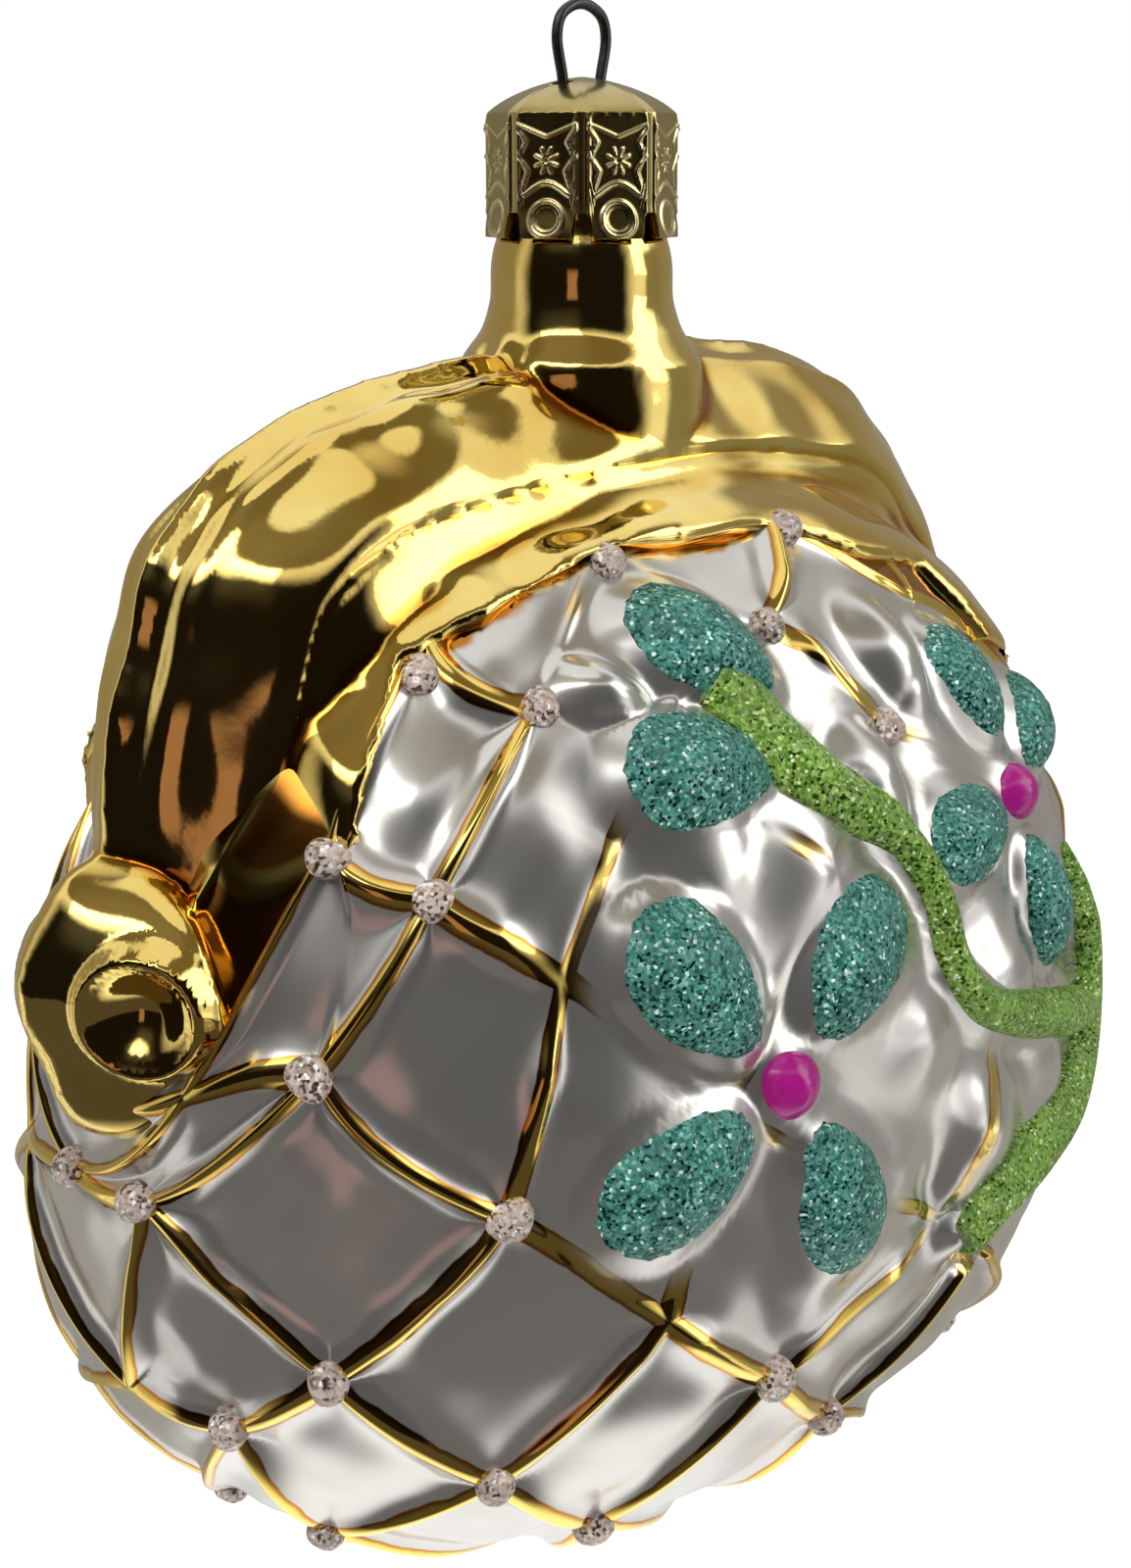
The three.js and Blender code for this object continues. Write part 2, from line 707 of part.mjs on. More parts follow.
function ornamentCap() {
  const innerRadius = capCornerRadius - capSheet / Math.cos(Math.PI / capSides);
  const profile = [
    [0, capApexZ],
    [0.45 * capCornerRadius, capApexZ - 0.18 * capDomeHeight],
    [0.8 * capCornerRadius, capApexZ - 0.6 * capDomeHeight],
    [capCornerRadius, capShoulderZ],
    [capCornerRadius, capFootZ + notchHeight],
    [capCornerRadius + capFlare, capFootZ],
    [innerRadius + capFlare, capFootZ],
    [innerRadius, capFootZ + notchHeight],
    [innerRadius, capShoulderZ - capSheet],
    [0.8 * innerRadius, capApexZ - 0.6 * capDomeHeight - capSheet],
    [0.45 * innerRadius, capApexZ - 0.18 * capDomeHeight - capSheet],
    [0, capApexZ - capSheet],
  ].reverse();
  let cap = outwardSolid(revolve(profile, capSides));
  for (let k = 0; k < capSides; k++) {
    const angle = (k * 2 * Math.PI) / capSides;
    const notch = new THREE.BoxGeometry(3, notchWidth, 2 * notchHeight);
    notch.translate(capCornerRadius, 0, capFootZ);
    cap = cap.subtract(toSolid(notch.rotateZ(angle)));
    const rib = new THREE.BoxGeometry(cornerRibWidth, cornerRibWidth, capSkirtHeight - notchHeight);
    rib.translate(capCornerRadius - 0.1, 0, (capShoulderZ + capFootZ + notchHeight) / 2);
    cap = cap.add(toSolid(rib.rotateZ(angle)));
    const ring = new THREE.TorusGeometry(tabRingRadius, tabRingThickness, 4, 8);
    ring.rotateX(Math.PI / 2).rotateZ(Math.PI / 2);
    ring.translate(capFlatRadius + 0.1, 0, capFootZ + tabRingRadius + 0.35);
    cap = cap.add(toSolid(ring.rotateZ(angle + Math.PI / capSides)));
  }
  for (const side of [-1, 1]) {
    const hole = new THREE.CylinderGeometry(capHoleDiameter / 2, capHoleDiameter / 2, 4, 12);
    const legX = (legHalfSpacing + loopHalfWidth) / 2;
    hole.rotateX(Math.PI / 2).translate(side * legX, 0, capApexZ - 1);
    cap = cap.subtract(toSolid(hole));
  }
  return cap;
}

// Wire

function hangerWire() {
  const top = wireDiameter / 2;
  const half = [
    [0.45 * loopHalfWidth, top - 0.25],
    [0.85 * loopHalfWidth, top - 1.0],
    [loopHalfWidth, -0.42 * loopHeight],
    [legHalfSpacing + 0.1, capApexZ - 0.2],
    [legHalfSpacing, capApexZ - 1.6],
    [legHalfSpacing + 0.5, capApexZ - 0.4 * legLength],
    [legSplay, capApexZ - legLength],
  ];
  const right = half.map(([x, z]) => new THREE.Vector3(x, 0, z));
  const left = half.map(([x, z]) => new THREE.Vector3(-x, 0, z)).reverse();
  const curve = new THREE.CatmullRomCurve3([...left, new THREE.Vector3(0, 0, top), ...right]);
  const circle = new THREE.Shape();
  circle.absarc(0, 0, wireDiameter / 2, 0, 2 * Math.PI);
  return new THREE.ExtrudeGeometry(circle, { steps: 34, curveSegments: wireSides / 2, extrudePath: curve });
}

// Glitter dots: low round drops on the crossings

const edgeCrossings = new Set(['-1 -3', '-1 -1', '-1 1', '0 -4']);
const bareCrossings = new Set([
  '-1 -5', '-1 3', '-1 5', '0 -6', '0 2', '0 4', '0 6', '1 -5', '1 -1', '1 3', '1 5', '2 -2', '2 0',
  '2 2', '2 4', '3 -1', '3 1', '3 3', '4 -6', '4 -2', '4 0', '4 2', '5 1',
]);

function dotPlaces() {
  const places = [];
  for (let row = -1; row <= 6; row++) {
    for (let column = -6; column <= 6; column++) {
      const onGrid = Math.abs(row + column) % 2 === 0;
      const key = `${row} ${column}`;
      const drop = edgeCrossings.has(key) ? edgeDotDrop : 0;
      if (onGrid && !bareCrossings.has(key)) places.push([row + drop, column]);
    }
  }
  return places;
}

function dotBody(row, column) {
  const at = (r, c, lift) => {
    const place = latticePlace(r, c);
    return new THREE.Vector3(...bagPoint(place.turn, place.ratio, lift));
  };
  const step = 0.05;
  const round = at(row, column + step, 0).sub(at(row, column - step, 0));
  const down = at(row + step, column, 0).sub(at(row, column, 0));
  const out = new THREE.Vector3().crossVectors(down, round).normalize();
  const profile = [
    [0, 0],
    [dotRadius, 0],
    [0.72 * dotRadius, 0.8 * dotHeight],
    [0, dotHeight],
  ];
  const geometry = revolve(profile, 8);
  geometry.applyQuaternion(new THREE.Quaternion().setFromUnitVectors(new THREE.Vector3(0, 0, 1), out));
  const foot = at(row, column, seatGap);
  geometry.translate(foot.x, foot.y, foot.z);
  return outwardSolid(geometry);
}

// Materials

function paint(color, roughness, metalness) {
  return new THREE.MeshStandardMaterial({ color, roughness, metalness });
}

const silveredGlass = paint('#c9c9c4', 0.15, 1);
const goldTin = paint('#b8a468', 0.35, 1);
const darkSteel = paint('#2b2b2c', 0.4, 1);
const tealGlitter = paint('#3e8273', 0.7, 0);
const greenGlitter = paint('#6e9a2a', 0.7, 0);
const magentaEnamel = paint('#a8157c', 0.2, 0);
const paleGlitter = paint('#c8b5a6', 0.75, 0);

function named(name, geometry, material) {
  const mesh = new THREE.Mesh(geometry, material);
  mesh.name = name;
  return mesh;
}

const ornament = new THREE.Group();
ornament.add(named('hanger_wire', hangerWire(), darkSteel));
ornament.add(named('ornament_cap', toGeometry(ornamentCap()), goldTin));

const shell = glassShell();
ornament.add(named('glass_shell', toGeometry(shell), silveredGlass));

// Each coat is cut by the glass and by the coats laid before it, all grown by the seating gap
let taken = glassForm(seatGap);
function layCoat(name, body, grown, material) {
  ornament.add(named(name, toGeometry(body.subtract(taken)), material));
  taken = taken.add(grown);
}

layCoat('flower_stems', stemsBody(0), stemsBody(seatGap), greenGlitter);
for (const petal of petalPlaces) {
  const reach = seatGap + coatThickness;
  layCoat(petal.node, petalBody(petal, reach), petalBody(petal, reach + seatGap), tealGlitter);
}
layCoat('flower_one_centre', centreBody(flowerOne, 0), centreBody(flowerOne, seatGap), magentaEnamel);
layCoat('flower_two_centre', centreBody(flowerTwo, 0), centreBody(flowerTwo, seatGap), magentaEnamel);

const clearOfFrame = frameForm(seatGap);
dotPlaces().forEach(([row, column], index) => {
  const body = dotBody(row, column);
  const name = `glitter_dot_${String(index + 1).padStart(2, '0')}`;
  const dot = body.subtract(clearOfFrame).subtract(taken);
  ornament.add(named(name, toGeometry(dot), paleGlitter));
});

export default ornament;
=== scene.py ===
# A blown glass tree ornament shaped as a quilted coin purse, dressed and lit for a studio picture.
# Metres, +Z up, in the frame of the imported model: the origin is inside the top of the wire loop.
# The shapes are worked out in millimetres, as the part's own source has them, and turned to metres last.
import math

import bmesh
import bpy
import numpy as np
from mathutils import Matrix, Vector
from mathutils.kdtree import KDTree


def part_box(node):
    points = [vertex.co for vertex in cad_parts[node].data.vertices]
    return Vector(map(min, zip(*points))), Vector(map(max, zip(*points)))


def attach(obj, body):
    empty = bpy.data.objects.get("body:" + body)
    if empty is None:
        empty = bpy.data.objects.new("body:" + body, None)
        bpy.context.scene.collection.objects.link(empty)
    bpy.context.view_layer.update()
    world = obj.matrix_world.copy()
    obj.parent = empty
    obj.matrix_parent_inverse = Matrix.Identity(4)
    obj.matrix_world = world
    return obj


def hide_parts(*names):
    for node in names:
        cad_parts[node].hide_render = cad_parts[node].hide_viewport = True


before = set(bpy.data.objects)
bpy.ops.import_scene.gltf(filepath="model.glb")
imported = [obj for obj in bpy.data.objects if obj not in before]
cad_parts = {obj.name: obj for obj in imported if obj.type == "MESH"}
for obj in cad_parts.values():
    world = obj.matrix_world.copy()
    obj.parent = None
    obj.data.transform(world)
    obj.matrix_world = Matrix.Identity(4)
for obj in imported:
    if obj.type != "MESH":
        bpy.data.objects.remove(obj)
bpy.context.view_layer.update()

MM = 0.001

# Camera, from the cap's and the frame's outlines in the picture
IMAGE_HEIGHT_PX = 1600
LENS_PX = 2315
SENSOR_MM = 36
CAMERA_PLACE = Vector((-0.1294, -0.1280, -0.0113))
CAMERA_AZIMUTH = 45.3
CAMERA_DOWN = 15.3
AXIS_SHIFT_PX = 16

# Studio
FLOOR_HEIGHT = -0.175
FLOOR_REACH = 6
FLOOR_GLOW = 0.58
PAPER = (0.9, 0.9, 0.9, 1)
WHITE = (1, 1, 1, 1)
MATT_LIGHT_LEVEL = 0.5
CARD_DISTANCE = 0.42
# Standing cards: azimuth, half turn, lowest and highest angle, distance and colour
CURTAINS = {
    "dark_room": (-CAMERA_AZIMUTH - 7, 81, -34, 48, CARD_DISTANCE, "#1b1614"),
    "ceiling_beam": (-CAMERA_AZIMUTH, 150, 48, 70, CARD_DISTANCE, "#7a7159"),
    "back_screen": (150, 92, -36, 42, CARD_DISTANCE, "#98938a"),
    "side_screen": (66, 30, -30, 26, CARD_DISTANCE, "#8b8b86"),
    "warm_board": (-CAMERA_AZIMUTH - 12, 7, -36, 16, 0.8 * CARD_DISTANCE, "#a9827a"),
}
# Cards just over the floor: azimuth, half turn, nearest and furthest reach and colour
TABLE_CLOTHS = {
    "table_cloth": (-CAMERA_AZIMUTH, 90, 0.05, 0.5, "#55504a"),
    "back_cloth": (180 - CAMERA_AZIMUTH, 110, 0.02, 0.5, "#a5a299"),
}
# Soft boxes: azimuth, elevation, distance, size and power
LAMPS = {"key_softbox": (-75, 50, 0.8, (0.6, 0.6), 4.0), "fill_softbox": (40, 25, 0.9, (0.5, 0.7), 2.0)}
STUDIO_CENTRE_HEIGHT = -0.06

# Wire and cap
WIRE_RADIUS = 0.425
LOOP_HALF_WIDTH = 2.65
LOOP_HEIGHT = 4.9
LEG_HALF_SPACING = 1.95
LEG_LENGTH = 19
LEG_SPLAY = 4.4
CAP_SIDES = 8
CAP_CORNER_RADIUS = 7.5
CAP_DOME_HEIGHT = 2.7
DOME_BEND = 0.93
DOME_SINK = 0.633
DOME_CONE = 0.42
CAP_SKIRT_HEIGHT = 9.2
CAP_FLARE = 0.35
CAP_SHEET = 0.3
CORNER_ROUNDING = 0.22
CAP_HOLE_RADIUS = 1.1
NOTCH_HALF_WIDTH = 0.75
NOTCH_HEIGHT = 1.9
CAP_FACE_STEPS = 44
CAP_SKIRT_ROWS = 96
CAP_DOME_ROWS = 18
STAMP_RISE = 0.17
RIDGE_RISE = 0.16
RING_DROP = 7.75
# Ring under each face: radius, half width and strength of its two lines
FACE_RINGS = [(1.28, 0.16, 1.2), (0.98, 0.1, 0.6)]
FACE_ZIGZAG = [(2.35, 1.1), (1.65, 2.2), (2.25, 3.2), (1.5, 4.25), (2.15, 6.2)]

# Neck and frame
NECK_RADIUS = 6.3
BORE_RADIUS = 5.5
MOUTH_Z = -8.4
NECK_SWELL_RADIUS = 7.15
NECK_FOOT_RADIUS = 9.6
FRAME_DROP = 25.3
CREASE_DEPTH = 7.6
CREASE_REACH = 9.9
BACK_ROUNDNESS = 1.35
LIP_DEPTH = 11.8
LIP_LEAST = 0.8
LIP_MOST = 8
LIP_SEEK = 24
BAND_SLOPE = 1.8
CREASE_SINK = 0.6
LIP_REACH_TOP = 22
LIP_REACH_ARMS = 15.5
# Heights over which the lip narrows to the arms', and over which it lies down on the bag
ARM_HEIGHTS = (-56, -46)
FADE_HEIGHTS = (-60, -47)
HINGE_DOWN = 40.7
ARCH_END_OUT = 1.6
LEFT_ARCH = [(0.37, 0.032), (0.66, 0.092), (0.845, 0.228), (0.93, 0.45), (0.98, 0.71), (1, 1)]
RIGHT_ARCH = [(0.37, 0.02), (0.64, 0.10), (0.80, 0.28), (0.91, 0.48), (0.97, 0.72), (1, 1)]
ARCH_END_DROP = 3.0
HINGE_HALF = (8.0, 12.2, 8.9)
HINGE_BACK = 0.55
HINGE_PLAN_ROUNDNESS = 1.25
HINGE_ROUNDNESS = 1.85
HINGE_TIP = 3.0
BACK_TAPER = 0.3
RIVET_ALONG = 0.66
RIVET_RADIUS = 4.2
RIVET_RISE = 0.55
RIM_WIDTH = 0.5
DIMPLE_RADIUS = 3.3
DIMPLE_DEPTH = 1.9
BACK_RIVET = 0.4
FRAME_STATIONS = 150
FRAME_VOXEL = 0.42
FRAME_SOFTENING = 6
HOLLOW_SOFTENING = 30
ARCH_CENTRE_Z = -78
# Share of the way from crease to lip edge, and how proud of the bag the band stands there
FRAME_BAND = [
    (0.05, 0.0), (0.16, 0.8), (0.33, 1.3), (0.55, 1.5), (0.75, 1.6), (0.9, 1.5), (1.0, 0.9), (1.12, -1.2),
]
# Mould seam along the frame's back: how far beside it, half width and height of each ridge or groove
SEAM_RIDGES = [(0, 0.7, 0.45), (1.9, 0.8, -0.3), (3.6, 0.9, 0.3)]
# Uneven swell of the blown glass: size of the swells, and height
FRAME_SWELLS = [(17, 0.42), (8, 0.24)]

# Bag
BAG_HALF_WIDTH = 49
BAG_HALF_DEPTH = 34.8
BAG_EQUATOR_DROP = 84.5
BAG_TUCK = 8.2
BAG_FALL = 35
PLAN_ROUNDNESS = 2.3
FALL_ROUNDNESS = 2.46
RISE_ROUNDNESS_ACROSS = 2.4
RISE_ROUNDNESS_DEEP = 2.0
BACK_TUCK = 2.4
BACK_TUCK_ABOVE = 1.2
BACK_TUCK_TURN = 135
BACK_TUCK_SPREAD = 28
BACK_TUCK_TOP = (-66, -56)
BACK_TUCK_FOOT = (-88, -80)

# Quilting grid
DIAMONDS_AROUND = 11
LATTICE_PHASE = 5
LATTICE_SLIP = -25
SLIP_CENTRE = 15
SLIP_REACH = 75
LINE_BELOW_HINGE = 7.5
LINE_STEEPNESS = 6
FREE_ROW = 4
FREE_ROW_TURN = 11
ROW_TURN = 19.2
ROW_CROWDING = 1.3
HIDDEN_ROWS = 3
LAST_ROW = 8
CROSSING_SHIFTS = [
    (-2, -2, 3.7, 0), (-2, 0, 6.3, 0), (-2, 2, 4.8, 0), (-1, -3, 4, 0.064), (-1, -1, 12.4, -0.018),
    (-1, 1, 15.7, -0.032), (-1, 3, 5.5, -0.05), (0, -4, -2.4, -0.052), (0, -2, 13.9, -0.05),
    (0, 0, 18.4, -0.138), (0, 2, 15.4, -0.162), (0, 4, 3, -0.03), (1, -3, 7.9, 0.003),
    (1, -1, 9.7, -0.052), (1, 1, 6.9, -0.125), (1, 3, 5.2, -0.055), (2, -4, -1.2, -0.02),
    (2, -2, 6.2, -0.01), (2, 0, 4.4, -0.032), (2, 2, 3, -0.037), (3, -5, -6.5, 0.069),
    (3, -3, 7.5, -0.011), (4, -6, 4.3, -0.168), (4, -2, 2.4, 0.046), (5, -5, 2.8, 0.15),
    (5, -3, 0, 0.038), (5, -1, -1.9, 0.127), (5, 1, -10, 0.19), (6, -4, -9.2, 0.08),
    (6, -2, -5.2, 0.058), (6, 0, -8.7, 0.162),
]

# Relief of the bag: ribs, panels, and the fading under the spray
RIB_HALF_WIDTH = 1.5
BEAD_HALF_WIDTH = 0.75
BEAD_RISE = 0.5
PANEL_DEPTH = 0.9
PANEL_CROWN = 0.7
PLAIN_RELIEF = -0.5 * PANEL_DEPTH
PATCH_STEPS = 30
# Dents of the blown glass: size and height
BAG_DENTS = [(12, 0.2), (6, 0.12)]
LIP_LEFT_SLANT = -4
LIP_RIGHT_SLANT = -2
LIP_TOP_ROW = -1
PETAL_COVER = 9
LOBE_COVER = 6
STEM_COVER = 5
COVER_FADE = 4
GILDING_NEARER = 2.5
FIRST_COVER_RATIO = -0.35

# Flower spray
PETAL_LENGTH = 13.2
PETAL_WIDTH = 8.8
PETAL_REACH = 10.8
EGG = 0.22
# Raised glass: length, width and height under a petal and of a bare lobe, radius and height under a
# flower's centre, height and reach under a stem
PETAL_LOBE = (1.22 * PETAL_LENGTH, 1.25 * PETAL_WIDTH, 2.5)
PLAIN_LOBE = (11.4, 7.5, 1.9)
CENTRE_BUMP = (2.8, 1.5)
STEM_RIDGE = (1.3, 2.2)
COAT_THICKNESS = 0.4
COAT_SKIRT = -0.25
COAT_FLOOR = -0.3
STEM_RISE = 1.2
FLOWER_STEM_RISE = 1.5
CENTRE_RADIUS = 2.6
CENTRE_RISE = 1.1
DOT_RADII = (1.4, 1.65)
DOT_RISE = 1.15
DOT_SINK = 1.0

# Glitter: grain size, the shades from dull to flashing, and the share at which each next shade starts. The
# shades are painted light: lit and shaded copies of the foil's one colour, from a painted shade to a
# painted glint.
# Real grains are nearer 0.15 mm, and are drawn a little coarser here so that they show
FOIL_GRAIN = 0.24
GLASS_GRAIN = 0.28
TEAL_SHADES = ("#28675c", "#3c8072", "#4f9284", "#78b7a9", "#d8f5ed")
GREEN_SHADES = ("#5c8a2a", "#749c39", "#88ad49", "#a6c766", "#e4f2bd")
PALE_SHADES = ("#a8968b", "#bfada1", "#cdbcb0", "#e2d6cc", "#ffffff")
GLITTER_SHARES = (0.28, 0.62, 0.86, 0.955)

CAP_APEX_Z = -LOOP_HEIGHT
CAP_SHOULDER_Z = CAP_APEX_Z - CAP_DOME_HEIGHT
CAP_FOOT_Z = CAP_SHOULDER_Z - CAP_SKIRT_HEIGHT
HINGE_ACROSS = BAG_HALF_WIDTH - 3.0
HINGE_Z = -FRAME_DROP - HINGE_DOWN
BAG_RISE = BAG_EQUATOR_DROP - FRAME_DROP - BAG_TUCK
BAG_LINE_Z = -FRAME_DROP - LIP_DEPTH
EQUATOR_Z = -BAG_EQUATOR_DROP
COLUMNS = 2 * DIAMONDS_AROUND
COLUMN_STEP = 360 / COLUMNS


# Small tools for numbers, curves and meshes


def smoothstep(low, high, value):
    share = np.clip((value - low) / (high - low), 0, 1)
    return share * share * (3 - 2 * share)


def unit(vectors):
    return vectors / np.linalg.norm(vectors, axis=-1, keepdims=True)


def unevenness(places, wavelength, seed, waves=7):
    """A soft random swell between about -1 and 1, the same on every run."""
    draw = np.random.default_rng(seed)
    total = np.zeros(len(places))
    for _ in range(waves):
        direction = unit(draw.normal(size=3))
        length = wavelength * draw.uniform(0.7, 1.5)
        total += np.sin(places @ direction * 2 * math.pi / length + draw.uniform(0, 2 * math.pi))
    return total / math.sqrt(waves * 2)


def curve_through(points, count):
    """Evenly spaced places and directions along a smooth curve through the points."""
    p = np.array(points, float)
    p = np.vstack([2 * p[0] - p[1], p, 2 * p[-1] - p[-2]])
    dense = []
    for k in range(1, len(p) - 2):
        gaps = [max(np.linalg.norm(p[k + j] - p[k + j - 1]) ** 0.5, 1e-6) for j in range(3)]
        start = (p[k] - p[k - 1]) / gaps[0] - (p[k + 1] - p[k - 1]) / (gaps[0] + gaps[1])
        start = (start + (p[k + 1] - p[k]) / gaps[1]) * gaps[1]
        end = (p[k + 1] - p[k]) / gaps[1] - (p[k + 2] - p[k]) / (gaps[1] + gaps[2])
        end = (end + (p[k + 2] - p[k + 1]) / gaps[2]) * gaps[1]
        t = np.linspace(0, 1, 40, endpoint=False)[:, None]
        dense.append(
            p[k] * (2 * t**3 - 3 * t**2 + 1)
            + start * (t**3 - 2 * t**2 + t)
            + p[k + 1] * (3 * t**2 - 2 * t**3)
            + end * (t**3 - t**2)
        )
    dense = np.vstack([*dense, p[-2]])
    lengths = np.r_[0, np.cumsum(np.linalg.norm(np.diff(dense, axis=0), axis=1))]
    wanted = np.linspace(0, lengths[-1], count)
    places = np.stack([np.interp(wanted, lengths, dense[:, k]) for k in range(p.shape[1])], axis=1)
    return places, unit(np.gradient(places, axis=0))


def vertex_normals(points, faces):
    """Area-weighted normals of a mesh of quads."""
    a, b, c, d = (points[faces[:, k]] for k in range(4))
    across = np.cross(c - a, d - b)
    total = np.zeros_like(points)
    for k in range(4):
        for axis in range(3):
            total[:, axis] += np.bincount(faces[:, k], across[:, axis], len(points))
    length = np.linalg.norm(total, axis=1, keepdims=True)
    return total / np.where(length > 0, length, 1)


def make_piece(name, points, faces, material, body, smooth=True):
    """A mesh object from points in millimetres, riding on a body."""
    mesh = bpy.data.meshes.new(name)
    mesh.from_pydata((np.asarray(points) * MM).tolist(), [], [list(map(int, face)) for face in faces])
    mesh.polygons.foreach_set("use_smooth", [smooth] * len(mesh.polygons))
    mesh.materials.append(material)
    mesh.update()
    piece = bpy.data.objects.new(name, mesh)
    bpy.context.scene.collection.objects.link(piece)
    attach(piece, body)
    return piece


def add_attribute(piece, name, values):
    attribute = piece.data.attributes.new(name, "FLOAT", "POINT")
    attribute.data.foreach_set("value", np.asarray(values, np.float32))


def mesh_points(mesh):
    points = np.zeros(len(mesh.vertices) * 3)
    mesh.vertices.foreach_get("co", points)
    return points.reshape(-1, 3) / MM


def mesh_faces(mesh):
    return [list(face.vertices) for face in mesh.polygons]


def grid_faces(rows, columns, closed=False):
    """Quads of a grid of rows by columns; a closed one joins its last column to its first."""
    steps_across = columns if closed else columns - 1
    row, column = np.meshgrid(np.arange(rows - 1), np.arange(steps_across), indexing="ij")
    a = row * columns + column
    b = row * columns + (column + 1) % columns
    return np.stack([a, b, b + columns, a + columns], axis=-1).reshape(-1, 4)


def ring_faces(rings, around, flipped=False):
    """Quads between rings of points and a face over each end."""
    last = (rings - 1) * around
    faces = [list(face) for face in grid_faces(rings, around, closed=True)]
    faces += [list(range(around))[::-1], list(range(last, last + around))]
    return [face[::-1] for face in faces] if flipped else faces


def joined(parts):
    """Points and faces of several parts as one list each."""
    faces, start = [], 0
    for part_points, part_faces in parts:
        faces += [[start + k for k in face] for face in part_faces]
        start += len(part_points)
    return np.vstack([part_points for part_points, _ in parts]), faces


def mesh_object(name, parts):
    points, faces = joined(parts)
    mesh = bpy.data.meshes.new(name)
    mesh.from_pydata((points * MM).tolist(), [], faces)
    thing = bpy.data.objects.new(name, mesh)
    bpy.context.scene.collection.objects.link(thing)
    return thing


def applied(thing, kind, **settings):
    """The mesh of an object once a modifier is applied; the object is removed."""
    modifier = thing.modifiers.new(kind.lower(), kind)
    for key, value in settings.items():
        setattr(modifier, key, value)
    bpy.context.view_layer.update()
    mesh = bpy.data.meshes.new_from_object(thing.evaluated_get(bpy.context.evaluated_depsgraph_get()))
    bpy.data.objects.remove(thing)
    return mesh


def cut_by(points, faces, tool_points, tool_faces):
    """Points and faces of a form once a tool's form is cut out of it."""
    body = mesh_object("body", [(points, faces)])
    tool = mesh_object("tool", [(tool_points, tool_faces)])
    mesh = applied(body, "BOOLEAN", operation="DIFFERENCE", object=tool, solver="EXACT")
    bpy.data.objects.remove(tool)
    return mesh_points(mesh), mesh_faces(mesh)


def turned(profile, around=72):
    """Points and faces of a closed form turned about the upright axis, from radius and height."""
    turn = np.linspace(0, 2 * math.pi, around, endpoint=False)
    circle = np.stack([np.cos(turn), np.sin(turn)], axis=1)
    rings = [np.column_stack([radius * circle, np.full(around, float(z))]) for radius, z in profile]
    return np.vstack(rings), ring_faces(len(profile), around)


def nearest_values(wanted, places, values):
    tree = KDTree(len(places))
    for k, place in enumerate(places):
        tree.insert(place, k)
    tree.balance()
    return np.array([values[tree.find(place)[1]] for place in wanted])


# The bag's smooth form: turn is degrees round from the front, ratio is -1 at the foot and 1 at the top


def signed_power(value, power):
    return np.sign(value) * np.abs(value) ** power


def fullness(ratio, roundness):
    return (1 - np.minimum(1, np.abs(ratio)) ** roundness) ** (1 / roundness)


def bag_point(turn, ratio):
    angle = np.radians(turn)
    low = ratio < 0
    across = np.where(low, fullness(ratio, FALL_ROUNDNESS), fullness(ratio, RISE_ROUNDNESS_ACROSS))
    deep = np.where(low, fullness(ratio, FALL_ROUNDNESS), fullness(ratio, RISE_ROUNDNESS_DEEP))
    x = BAG_HALF_WIDTH * across * signed_power(np.sin(angle), 2 / PLAN_ROUNDNESS)
    y = -BAG_HALF_DEPTH * deep * signed_power(np.cos(angle), 2 / PLAN_ROUNDNESS)
    z = EQUATOR_Z + np.where(low, BAG_FALL, BAG_RISE) * ratio
    return np.stack([x, y, z], axis=-1)


def ratio_at(z):
    return (z - EQUATOR_Z) / np.where(z < EQUATOR_Z, BAG_FALL, BAG_RISE)


def front_point(x, z):
    """A point of the bag's front as seen square on."""
    x, z = np.asarray(x, float), np.asarray(z, float)
    ratio = ratio_at(z)
    rise = np.where(ratio < 0, fullness(ratio, FALL_ROUNDNESS), fullness(ratio, RISE_ROUNDNESS_ACROSS))
    half_width = np.maximum(rise * BAG_HALF_WIDTH, 1e-9)
    side = np.minimum(1, np.abs(x) / half_width) ** (PLAN_ROUNDNESS / 2)
    return bag_point(np.sign(x) * np.degrees(np.arcsin(side)), ratio)


def front_axes(x, z):
    """Directions on the front: to the right, upwards and straight out of the glass."""
    step = 0.5
    right = unit(front_point(x + step, z) - front_point(x - step, z))
    rise = unit(front_point(x, z + step) - front_point(x, z - step))
    out = unit(np.cross(right, rise))
    return right, np.cross(out, right), out


def laid_axes(place, angle):
    """A place's point on the front, directions along and across an angle drawn there, and straight out."""
    right, up, out = front_axes(*place)
    aim = math.radians(angle)
    along = right * math.cos(aim) + up * math.sin(aim)
    return front_point(*place), along, np.cross(out, along), out


# The quilting's own grid: rows run down from the bag line, columns run round


def wrap_turn(turn):
    return (turn + 180) % 360 - 180


def even_place(row, column):
    turn = LATTICE_PHASE + COLUMN_STEP * column
    lowest = -np.sin(np.radians(FREE_ROW_TURN + ROW_TURN * (np.maximum(row, FREE_ROW) - FREE_ROW)))
    wrapped = wrap_turn(turn)
    slip = LATTICE_SLIP * np.maximum(0, 1 - ((wrapped - SLIP_CENTRE) / SLIP_REACH) ** 4)
    pull = np.where(row > 0, 1 - (np.clip(row, 0, FREE_ROW) / FREE_ROW) ** ROW_CROWDING, 1)
    fall = BAG_LINE_Z - (HINGE_Z - LINE_BELOW_HINGE)
    line_z = BAG_LINE_Z - fall * np.abs(np.sin(np.radians(wrapped + slip))) ** LINE_STEEPNESS
    free_z = EQUATOR_Z + lowest * BAG_FALL
    ratio = ratio_at(free_z + pull * (line_z - free_z))
    hidden = np.where(row < 0, -row / HIDDEN_ROWS, 0)
    ratio = ratio + (1 - ratio) * hidden
    ratio = np.where(row >= FREE_ROW, lowest, ratio)
    ratio = np.where(row >= LAST_ROW, -1, ratio)
    return turn + np.where(row >= FREE_ROW, 0, slip * pull), ratio


